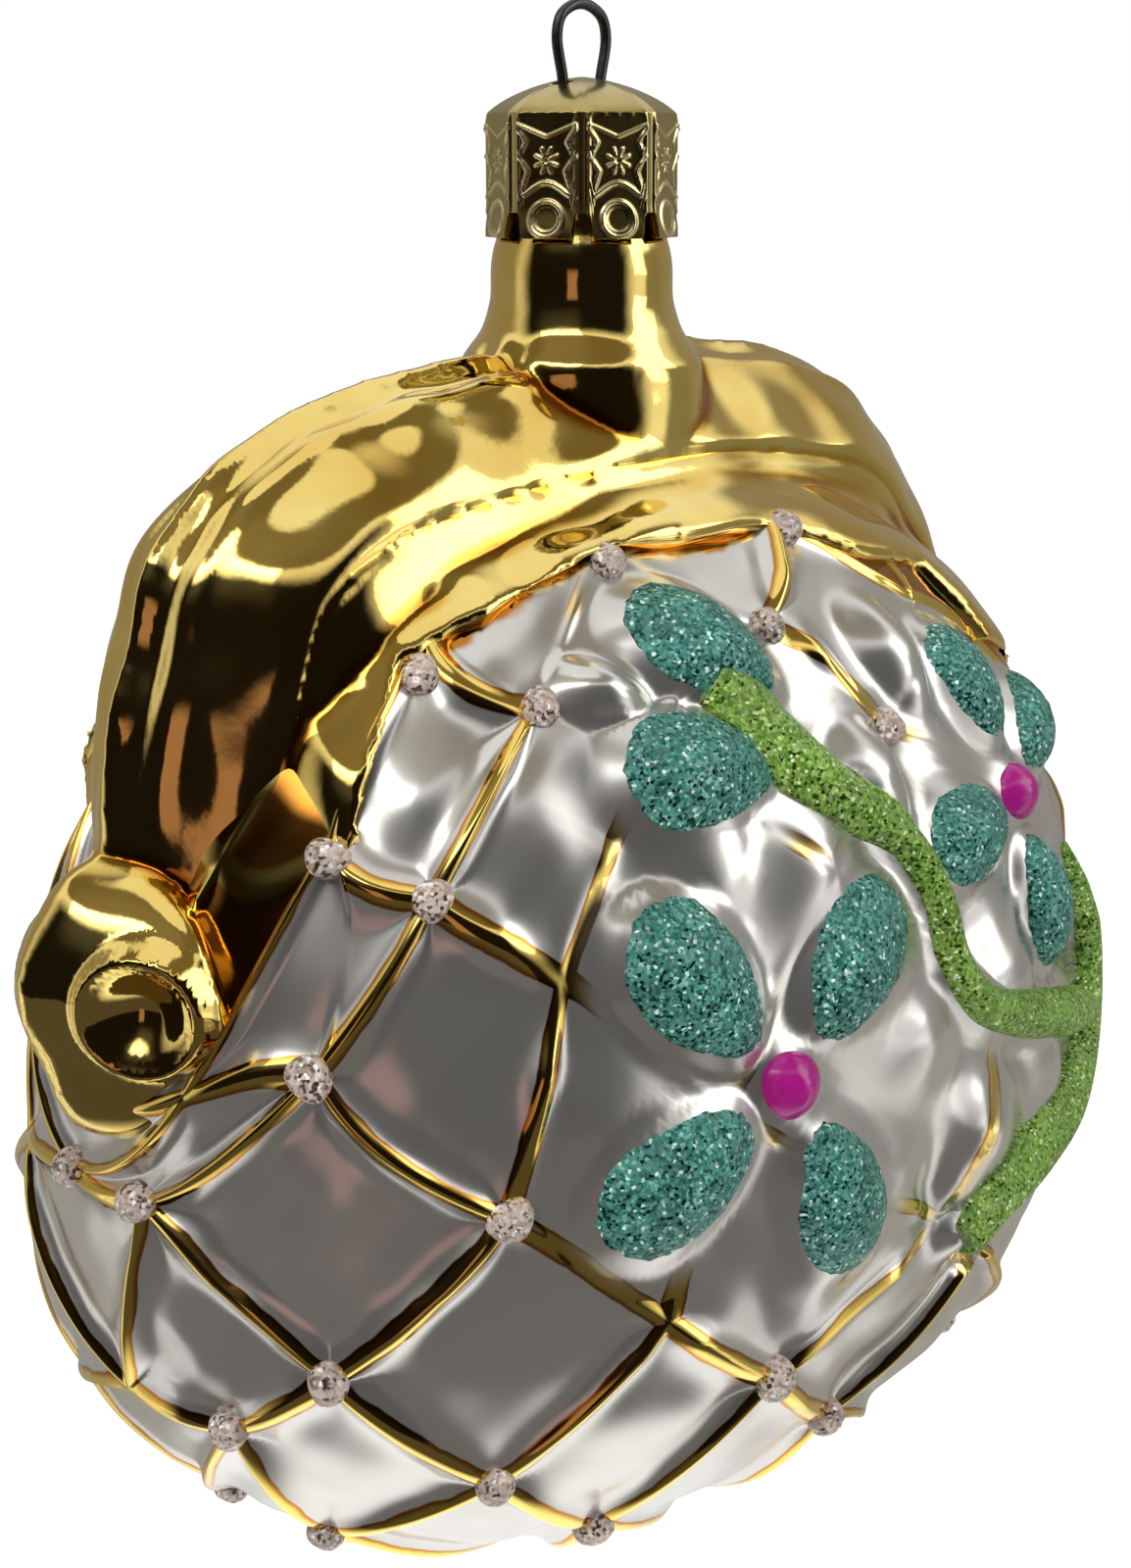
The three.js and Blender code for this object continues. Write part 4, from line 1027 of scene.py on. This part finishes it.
def neck_form():
    foot = -FRAME_DROP
    return turned([
        (NECK_FOOT_RADIUS, foot - 8), (NECK_FOOT_RADIUS, foot - 1.0), (NECK_SWELL_RADIUS + 0.7, foot + 1.4),
        (NECK_SWELL_RADIUS, foot + 3.8), (NECK_SWELL_RADIUS, CAP_FOOT_Z - 2.2),
        (NECK_SWELL_RADIUS - 0.25, CAP_FOOT_Z - 0.7), (NECK_RADIUS, CAP_FOOT_Z + 0.8),
        (NECK_RADIUS, MOUTH_Z),
    ])


def relax(points, edges, rounds, strength=0.5):
    """Moves each point towards the middle of its neighbours."""
    count = np.bincount(edges.ravel(), minlength=len(points))[:, None]
    for _ in range(rounds):
        total = np.zeros_like(points)
        for axis in range(3):
            total[:, axis] = np.bincount(edges[:, 0], points[edges[:, 1], axis], len(points))
            total[:, axis] += np.bincount(edges[:, 1], points[edges[:, 0], axis], len(points))
        points = points + strength * (total / count - points)
    return points


def rivet_place(side, face):
    half_x, half_y = HINGE_HALF[0], HINGE_HALF[1] * (1 if face < 0 else HINGE_BACK)
    forward = RIVET_ALONG
    out = (1 - forward**HINGE_PLAN_ROUNDNESS) ** (1 / HINGE_PLAN_ROUNDNESS)
    slope = HINGE_PLAN_ROUNDNESS - 1
    axis = np.array([side * out**slope / half_x, face * forward**slope / half_y, -0.008])
    return np.array([side * (HINGE_ACROSS + out * half_x), face * forward * half_y, HINGE_Z]), unit(axis)


def add_rivets(points):
    """Presses a round raised head with a dished middle into each hinge end, front and back."""
    for side in (-1, 1):
        for face in (-1, 1):
            centre, axis = rivet_place(side, face)
            away = points - centre
            depth = away @ axis
            radius = np.linalg.norm(away - depth[:, None] * axis, axis=1)
            rim = RIVET_RISE * np.exp(-(((radius - RIVET_RADIUS) / RIM_WIDTH) ** 2))
            dish = -DIMPLE_DEPTH * np.clip(1 - (radius / DIMPLE_RADIUS) ** 2, 0, 1) ** 1.3
            flat = smoothstep(RIVET_RADIUS + 1.0, RIVET_RADIUS, radius)
            move = np.where(np.abs(depth) < 4, (rim + dish - depth) * flat + rim * (1 - flat), 0)
            move = move * (1 if face < 0 else BACK_RIVET)
            points = points + move[:, None] * axis
    return points


def frame_swell(points, out):
    """The mould seam along the frame's back and the uneven swell of its blown glass."""
    on_arch = smoothstep(7, 11, np.hypot(points[:, 0], points[:, 1])) * smoothstep(-21, -25, points[:, 2])
    from_middle = unit(np.stack([points[:, 0], 0 * points[:, 0], points[:, 2] - ARCH_CENTRE_Z], axis=1))
    outer = np.clip(np.sum(out * from_middle, axis=1), 0, 1)
    beside = np.abs(points[:, 1])
    seam = sum(height * np.exp(-(((beside - place) / width) ** 2)) for place, width, height in SEAM_RIDGES)
    seam = seam * smoothstep(0.4, 0.8, outer) * smoothstep(HINGE_Z + 6, HINGE_Z + 20, points[:, 2])
    swell = sum(size * unevenness(points, wavelength, seed)
                for seed, (wavelength, size) in enumerate(FRAME_SWELLS, start=3))
    return (seam + swell) * on_arch


def frame_skin(material):
    """The frame, hinge ends and neck run together as one soft form, then bored through the neck."""
    raw = mesh_object("frame_raw", [sweep_frame(), hinge_end(-1), hinge_end(1), neck_form()])
    mesh = applied(raw, "REMESH", mode="VOXEL", voxel_size=FRAME_VOXEL * MM)
    faces = np.array(mesh_faces(mesh))
    edges = np.zeros(len(mesh.edges) * 2, int)
    mesh.edges.foreach_get("vertices", edges)
    edges = edges.reshape(-1, 2)
    points = relax(mesh_points(mesh), edges, FRAME_SOFTENING)
    out = vertex_normals(points, faces)
    hollow = np.sum((relax(points, edges, HOLLOW_SOFTENING) - points) * out, axis=1)
    points = add_rivets(points + out * frame_swell(points, out)[:, None])
    bore = turned([(BORE_RADIUS, -FRAME_DROP - 5), (BORE_RADIUS, MOUTH_Z + 3)])
    final, final_faces = cut_by(points, faces.tolist(), *bore)
    piece = make_piece("gold_frame", final, final_faces, material, "glass")
    add_attribute(piece, "pooling", nearest_values(final, points, smoothstep(0.02, 0.25, hollow)))
    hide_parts("glass_shell")


# The cap and the wire


def line_gap(u, w, corners):
    """Distance of places on a cap face from a line through the corners."""
    gap = np.full(u.shape, 9.0)
    for (u0, w0), (u1, w1) in zip(corners, corners[1:]):
        du, dw = u1 - u0, w1 - w0
        share = np.clip(((u - u0) * du + (w - w0) * dw) / (du * du + dw * dw), 0, 1)
        gap = np.minimum(gap, np.hypot(u - u0 - share * du, w - w0 - share * dw))
    return gap


def stamped_lines():
    """Lines on one cap face as corners and half width: zigzags, a peak, an arch and a small star."""
    lines = []
    for flip in (-1, 1):
        lines.append(([(flip * a, b) for a, b in FACE_ZIGZAG], 0.13))
        lines.append(([(0, 1.8), (flip * 2.3, 0.9)], 0.1))
    arch = [(a, 6.2 - 1.1 * math.cos(a / 2.2 * math.pi / 2) ** 1.4) for a in np.linspace(-2.15, 2.15, 9)]
    lines.append((arch, 0.17))
    for turn in np.radians([22, 67, 112, 157]):
        for flip in (-1, 1):
            ray = [(flip * k * math.cos(turn), 3.5 + flip * k * math.sin(turn)) for k in (0.3, 0.95)]
            lines.append((ray, 0.1))
    return lines


def face_stamp(u, w):
    """Height of the stamp on a cap face: u runs across from its middle, w down from the shoulder."""
    height = np.zeros(u.shape)
    for corners, half_width in stamped_lines():
        height = np.maximum(height, np.exp(-((line_gap(u, w, corners) / half_width) ** 2)))
    from_ring = np.hypot(u, w - RING_DROP)
    for radius, half_width, strength in FACE_RINGS:
        height = np.maximum(height, strength * np.exp(-(((from_ring - radius) / half_width) ** 2)))
    return height


def cap_outside(turn):
    """Rings of radius and height down the cap's outside, and how raised the stamp is on each."""
    side_turn = 2 * math.pi / CAP_SIDES
    flat = CAP_CORNER_RADIUS * math.cos(side_turn / 2)
    local = (turn % side_turn) - side_turn / 2
    u = flat * np.tan(local)
    from_corner = flat * math.tan(side_turn / 2) - np.abs(u)
    wall = flat / np.cos(local) - CORNER_ROUNDING * np.exp(-((from_corner / 0.35) ** 2))
    ridge = np.exp(-(((from_corner - 0.5) / 0.13) ** 2))
    notch = smoothstep(NOTCH_HALF_WIDTH + 0.25, NOTCH_HALF_WIDTH - 0.15, from_corner)
    foot = CAP_FOOT_Z + NOTCH_HEIGHT * notch
    rows, raised = [], []
    for share in np.sin(np.linspace(0.03, math.pi / 2, CAP_DOME_ROWS)):
        sink = (1 - math.sqrt(max(0, 1 - (DOME_BEND * share) ** 2))) / DOME_SINK
        drop = CAP_DOME_HEIGHT * (DOME_CONE * share**1.3 + (1 - DOME_CONE) * sink)
        rows.append((share * wall, np.full(len(turn), CAP_APEX_Z - drop)))
        raised.append(np.zeros(len(turn)))
    for share in np.linspace(0, 1, CAP_SKIRT_ROWS)[1:]:
        z = CAP_SHOULDER_Z + (foot - CAP_SHOULDER_Z) * share
        w = CAP_SHOULDER_Z - z
        stamp = face_stamp(u, w) * smoothstep(0.0, 0.4, w)
        scallops = 0.7 * smoothstep(0.45, 0.0, w) * np.maximum(0, np.cos(u * 2 * math.pi / 1.1))
        flare = CAP_FLARE * smoothstep(CAP_SKIRT_HEIGHT - 2.6, CAP_SKIRT_HEIGHT, w)
        relief = STAMP_RISE * stamp + RIDGE_RISE * ridge * smoothstep(0, 0.6, w) + 0.08 * scallops
        rows.append((wall + relief + flare, z))
        raised.append(np.clip(stamp + 0.8 * ridge, 0, 1))
    return rows, raised


def cap_skin(material):
    """The stamped sheet: an outside, an inside one sheet's thickness in, and two holes for the wire."""
    turn = np.linspace(0, 2 * math.pi, CAP_SIDES * CAP_FACE_STEPS, endpoint=False)
    across, along = np.cos(turn), np.sin(turn)
    rows, raised = cap_outside(turn)
    outside = [np.stack([r * across, r * along, z], axis=1) for r, z in rows]
    inside = []
    for number, (r, z) in enumerate(rows):
        inner = np.maximum(r, CAP_SHEET + 0.05) - CAP_SHEET
        under = z - CAP_SHEET * (number < CAP_DOME_ROWS)
        inside.append(np.stack([inner * across, inner * along, under], axis=1))
    rings = outside + inside[::-1]
    whole = np.vstack(rings)
    points, faces = whole, ring_faces(len(rings), len(turn), flipped=True)
    hole = [(CAP_HOLE_RADIUS, CAP_APEX_Z - 3), (CAP_HOLE_RADIUS, CAP_APEX_Z + 1)]
    drill, drill_faces = turned(hole, 32)
    for side in (-1, 1):
        aside = np.array([side * (LEG_HALF_SPACING + LOOP_HALF_WIDTH) / 2, 0, 0])
        points, faces = cut_by(points, faces, drill + aside, drill_faces)
    piece = make_piece("stamped_cap", points, faces, material, "cap")
    values = np.concatenate(raised + [0 * row for row in raised])
    add_attribute(piece, "raised", nearest_values(points, whole, values))
    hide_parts("ornament_cap")


def wire_hanger(material):
    top = WIRE_RADIUS
    half = [
        (0.45 * LOOP_HALF_WIDTH, top - 0.25), (0.85 * LOOP_HALF_WIDTH, top - 1.0),
        (LOOP_HALF_WIDTH, -0.42 * LOOP_HEIGHT), (LEG_HALF_SPACING + 0.1, CAP_APEX_Z - 0.2),
        (LEG_HALF_SPACING, CAP_APEX_Z - 1.6), (LEG_HALF_SPACING + 0.5, CAP_APEX_Z - 0.4 * LEG_LENGTH),
        (LEG_SPLAY, CAP_APEX_Z - LEG_LENGTH),
    ]
    right = [(x, 0, z) for x, z in half]
    left = [(-x, y, z) for x, y, z in reversed(right)]
    places, along = curve_through([*left, (0, 0, top), *right], 260)
    turn = np.linspace(0, 2 * math.pi, 20, endpoint=False)
    forward = np.array([0.0, 1.0, 0.0])
    side = np.cross(along, forward)
    ring = np.cos(turn)[None, :, None] * side[:, None] + np.sin(turn)[None, :, None] * forward
    radius = np.full(len(places), WIRE_RADIUS)
    radius[[0, -1]] *= 0.6
    points = (places[:, None] + radius[:, None, None] * ring).reshape(-1, 3)
    faces = ring_faces(len(places), len(turn), flipped=True)
    piece = make_piece("bent_wire_hanger", points, faces, material, "hanger")
    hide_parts("hanger_wire")


# Coats of glitter and enamel


def on_glass(x, z, lift):
    """Points on the front of the glass, raised by a lift that counts from its relief."""
    base = front_point(x, z)
    _, _, out = front_axes(x, z)
    relief = spray_relief(base.reshape(-1, 3)).reshape(base.shape[:-1]) + PLAIN_RELIEF
    return base + out * (relief + lift)[..., None]


def flat_to_front(place, angle, u, v):
    """Front coordinates of points given along and across a direction laid on the glass at a place."""
    centre, along, side, _ = laid_axes(place, angle)
    guess = centre + u[..., None] * along + v[..., None] * side
    for _ in range(5):
        found = front_point(guess[..., 0], guess[..., 2])
        away = found - centre
        guess = found + (u - away @ along)[..., None] * along + (v - away @ side)[..., None] * side
    return guess[..., 0], guess[..., 2]


def ragged_disc(around, rings, draw, waves, first=0.02):
    """A disc of rings about 1 across its half: its turns, its shares out, and its uneven outline."""
    turn = np.linspace(0, 2 * math.pi, around, endpoint=False)
    share = np.sin(np.linspace(first, math.pi / 2, rings))[:, None]
    outline = 1 + sum(height * np.sin(count * turn + draw.uniform(0, 6)) for count, height in waves)
    return turn, share, outline


def grainy(u, v, w, grain, seed):
    return unevenness(np.stack([u, v, w], axis=-1).reshape(-1, 3), grain, seed).reshape(u.shape)


def closed_coat(name, u, v, rise, place, angle, material, node):
    """A thin pad on the glass: rings from the middle outwards, a skirt into the glass and a floor below."""
    x, z = flat_to_front(place, angle, u, v)
    top = on_glass(x, z, rise)
    skirt = on_glass(x[-1:], z[-1:], np.full_like(rise[-1:], COAT_SKIRT))
    under = on_glass(x, z, np.full_like(rise, COAT_FLOOR))[::-1]
    rings = np.concatenate([top, skirt, under])
    faces = ring_faces(*rings.shape[:2])
    piece = make_piece(name, rings.reshape(-1, 3), faces, material, "glass")
    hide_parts(node)


def petal_coat(node, place, angle, size, material, seed):
    draw = np.random.default_rng(seed)
    turn, share, ragged = ragged_disc(72, 22, draw, [(3, 0.02), (7, 0.015), (19, 0.012), (31, 0.008)])
    u = share * ragged * np.cos(turn) * size * PETAL_LENGTH / 2
    v = share * ragged * np.sin(turn) * (1 + EGG * np.cos(turn) * share) * size * PETAL_WIDTH / 2
    rise = COAT_THICKNESS * (1 - share**8) + 0.06 * grainy(u, v, 0 * u, 1.1, seed + 50)
    closed_coat(f"{node}_glitter", u, v, rise, place, angle, material, node)


def centre_drop(node, place, material, seed):
    draw = np.random.default_rng(seed)
    turn, share, uneven = ragged_disc(48, 18, draw, [(2, 0.05), (3, 0.03)])
    u = share * uneven * np.cos(turn) * CENTRE_RADIUS * 1.02
    v = share * uneven * np.sin(turn) * CENTRE_RADIUS * 0.95
    rise = CENTRE_RISE * np.sqrt(np.maximum(0, 1 - share**2)) + 0 * u
    closed_coat(f"{node}_enamel", u, v, rise, place, 20, material, node)


def stem_strip(stem, half_widths, rise):
    """A rounded strip of glitter laid along a stem's path."""
    places, _ = curve_through(stem, 150)
    x, z = places[:, 0], places[:, 1]
    _, _, out = front_axes(x, z)
    spot = front_point(x, z)
    side = np.cross(out, unit(np.gradient(spot, axis=0)))
    across = np.sin(np.linspace(-math.pi / 2, math.pi / 2, 19))
    width = np.interp(np.linspace(0, 1, len(places)), np.linspace(0, 1, len(half_widths)), half_widths)
    width = width * (1 + 0.06 * unevenness(spot, 7, 11))
    offset = spot[:, None] + side[:, None] * (across[None, :, None] * width[:, None, None])
    full = rise * np.minimum(1, width / 1.7)[:, None] * np.sqrt(1 - across**2)[None, :]
    top = on_glass(offset[..., 0], offset[..., 2], full + 0.05)
    under = on_glass(offset[..., 0], offset[..., 2], COAT_FLOOR + 0 * offset[..., 0])[:, ::-1]
    rings = np.concatenate([top, under], axis=1)
    return rings.reshape(-1, 3), ring_faces(*rings.shape[:2], flipped=True)


def stems(material):
    bud = stem_strip([BUD_HEAD, *BUD_STEM], BUD_STEM_WIDTHS, STEM_RISE)
    flower = stem_strip(FLOWER_STEM, FLOWER_STEM_WIDTHS, FLOWER_STEM_RISE)
    points, faces = joined([bud, flower])
    piece = make_piece("flower_stems_glitter", points, faces, material, "glass")
    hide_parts("flower_stems")


def glitter_dot(node, seed, material, bag_points, bag_normals):
    """A drop of glitter that sits on the glass at the node's place and leans as the glass does."""
    low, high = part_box(node)
    middle = np.array((low + high) / 2) / MM
    near = np.argsort(np.linalg.norm(bag_points - middle, axis=1))[:40]
    out = unit(bag_normals[near].mean(axis=0))
    foot = middle - out * ((middle - bag_points[near[0]]) @ out)
    right = unit(np.cross(np.array([0, 0, 1.0]), out))
    up = np.cross(out, right)
    draw = np.random.default_rng(seed + 100)
    turn, share, uneven = ragged_disc(28, 12, draw, [(2, 0.07), (3, 0.05)], first=0.03)
    radius = draw.uniform(*DOT_RADII)
    u, v = share * uneven * np.cos(turn) * radius, share * uneven * np.sin(turn) * radius
    rise = DOT_RISE * np.sqrt(np.maximum(0, 1 - share**2.4)) + 0 * u
    rise = rise + 0.07 * grainy(u, v, rise, 0.8, seed)
    top = foot + u[..., None] * right + v[..., None] * up + rise[..., None] * out
    floor = foot + u[::-1, :, None] * right + v[::-1, :, None] * up - DOT_SINK * out
    rings = np.concatenate([top, floor])
    faces = ring_faces(*rings.shape[:2])
    piece = make_piece(f"{node}_drop", rings.reshape(-1, 3), faces, material, "glass")
    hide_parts(node)


# Studio


def add_camera():
    data = bpy.data.cameras.new("camera")
    data.sensor_width = SENSOR_MM
    data.lens = LENS_PX / IMAGE_HEIGHT_PX * SENSOR_MM
    data.shift_x = -AXIS_SHIFT_PX / IMAGE_HEIGHT_PX
    data.clip_start = 0.01
    data.clip_end = 20
    camera = bpy.data.objects.new("camera", data)
    camera.location = CAMERA_PLACE
    camera.rotation_euler = (math.radians(90 - CAMERA_DOWN), 0, -math.radians(CAMERA_AZIMUTH))
    bpy.context.scene.collection.objects.link(camera)
    bpy.context.scene.camera = camera


def add_lamp(name, azimuth, elevation, distance, size, power):
    """A soft box that faces the ornament; azimuth 0 stands on the -Y side, 90 on the +X side."""
    data = bpy.data.lights.new(name, "AREA")
    data.shape = "RECTANGLE"
    data.size, data.size_y = size
    data.energy = power
    lamp = bpy.data.objects.new(name, data)
    a, e = math.radians(azimuth), math.radians(elevation)
    way = Vector((math.sin(a) * math.cos(e), -math.cos(a) * math.cos(e), math.sin(e)))
    lamp.location = Vector((0, 0, STUDIO_CENTRE_HEIGHT)) + way * distance
    lamp.rotation_mode = "QUATERNION"
    lamp.rotation_quaternion = way.to_track_quat("Z", "Y")
    bpy.context.scene.collection.objects.link(lamp)


def seen_rays(tree):
    """1 for rays that show the studio: the camera's, and those that mirror or pass through a piece."""
    path = add_node(tree, "LightPath").outputs
    seen = add_node(tree, "Math", {0: path["Is Camera Ray"], 1: path["Is Glossy Ray"]}, operation="MAXIMUM")
    return add_node(tree, "Math", {0: seen, 1: path["Is Transmission Ray"]}, operation="MAXIMUM")


def add_world():
    """White behind the ornament and in its reflections; a plain level of light on what is matt."""
    world = bpy.data.worlds.new("studio")
    bpy.context.scene.world = world
    world.use_nodes = True
    tree = world.node_tree
    level = add_node(tree, "MapRange", {"Value": seen_rays(tree), "To Min": MATT_LIGHT_LEVEL})
    connect(tree, tree.nodes["Background"], {"Strength": level, "Color": WHITE})


def add_floor():
    mesh = bpy.data.meshes.new("floor")
    signs = [(-1, -1), (1, -1), (1, 1), (-1, 1)]
    corners = [(x * FLOOR_REACH, y * FLOOR_REACH, FLOOR_HEIGHT) for x, y in signs]
    mesh.from_pydata(corners, [], [(0, 1, 2, 3)])
    floor = bpy.data.objects.new("floor", mesh)
    material, tree = bare_material("white_paper_floor")
    paper = add_node(tree, "BsdfDiffuse", {"Color": PAPER})
    glow = add_node(tree, "Emission", {"Color": WHITE, "Strength": FLOOR_GLOW})
    dark = add_node(tree, "Emission", {"Strength": 0.0})
    lit = add_node(tree, "MixShader", {0: seen_rays(tree), 1: dark, 2: glow})
    both = add_node(tree, "AddShader", {0: paper, 1: lit})
    connect(tree, tree.nodes["Material Output"], {"Surface": both})
    mesh.materials.append(material)
    bpy.context.scene.collection.objects.link(floor)


def add_card(name, points, rows, columns, code):
    """A curved card with soft edges that only the ornament's reflections show, as studio cloth does."""
    mesh = bpy.data.meshes.new(name)
    mesh.from_pydata(points.reshape(-1, 3).tolist(), [], grid_faces(rows, columns).tolist())
    corner = np.array([vertex for face in mesh.polygons for vertex in face.vertices])
    layer = mesh.uv_layers.new(name="spread")
    spread = np.stack([corner % columns / (columns - 1), corner // columns / (rows - 1)], axis=-1)
    layer.data.foreach_set("uv", spread.ravel())
    card = bpy.data.objects.new(name, mesh)
    material, tree = bare_material(name)
    place = add_node(tree, "UVMap", uv_map="spread")
    split = add_node(tree, "SeparateXYZ", {"Vector": place})
    fades = []
    for axis in "XY":
        off = add_node(tree, "Math", {0: split.outputs[axis], 1: 0.5}, operation="SUBTRACT")
        away = add_node(tree, "Math", {0: off}, operation="ABSOLUTE")
        fades.append(add_node(tree, "MapRange", {"Value": away, "From Min": 0.5, "From Max": 0.36},
                              interpolation_type="SMOOTHSTEP"))
    full = add_node(tree, "Math", {0: fades[0], 1: fades[1]}, operation="MULTIPLY")
    clear = add_node(tree, "BsdfTransparent")
    cloth = add_node(tree, "Emission", {"Color": srgb(code)})
    both = add_node(tree, "MixShader", {0: full, 1: clear, 2: cloth})
    connect(tree, tree.nodes["Material Output"], {"Surface": both})
    mesh.materials.append(material)
    bpy.context.scene.collection.objects.link(card)
    card.visible_camera = False
    card.visible_diffuse = False
    card.visible_shadow = False


def add_curtain(name, azimuth, half_turn, low, high, distance, code):
    """A card that stands or leans round the ornament between two heights, in degrees."""
    rows, columns = 24, 36
    turn = np.radians(np.linspace(azimuth - half_turn, azimuth + half_turn, columns))
    rise = np.radians(np.linspace(low, high, rows))[:, None]
    x = distance * np.cos(rise) * np.sin(turn)
    y = -distance * np.cos(rise) * np.cos(turn)
    z = distance * np.sin(rise) + 0 * x + STUDIO_CENTRE_HEIGHT
    add_card(name, np.stack([x, y, z], axis=-1), rows, columns, code)


def add_table_cloth(name, azimuth, half_turn, near, far, code):
    """A card that lies just over the floor, in front of the ornament."""
    rows, columns = 12, 36
    turn = np.radians(np.linspace(azimuth - half_turn, azimuth + half_turn, columns))
    reach = np.linspace(near, far, rows)[:, None]
    x, y = reach * np.sin(turn), -reach * np.cos(turn)
    add_card(name, np.stack([x, y, 0 * x + FLOOR_HEIGHT + 0.004], axis=-1), rows, columns, code)


bpy.context.scene.view_settings.view_transform = "Standard"
add_camera()
add_world()
add_floor()
for name, settings in LAMPS.items():
    add_lamp(name, *settings)
for name, settings in CURTAINS.items():
    add_curtain(name, *settings)
for name, settings in TABLE_CLOTHS.items():
    add_table_cloth(name, *settings)

gold = gold_lacquer()
silver = satin_silver()
bag_points, bag_normals = bag_skin(silver)
frame_skin(gold)
cap_skin(stamped_tin())
wire_hanger(drawn_steel())
teal = glitter("teal_foil_glitter", TEAL_SHADES, FOIL_GRAIN)
green = glitter("green_foil_glitter", GREEN_SHADES, FOIL_GRAIN)
pale = glitter("pale_glass_glitter", PALE_SHADES, GLASS_GRAIN)
for number, (node, (place, angle, size)) in enumerate(PETALS.items()):
    petal_coat(node, place, angle, size, teal, number)
enamel = magenta_enamel()
for number, (node, place) in enumerate(CENTRES.items()):
    centre_drop(node, place, enamel, number)
stems(green)
dots = sorted(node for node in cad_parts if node.startswith("glitter_dot"))
for number, node in enumerate(dots):
    glitter_dot(node, number, pale, bag_points, bag_normals)
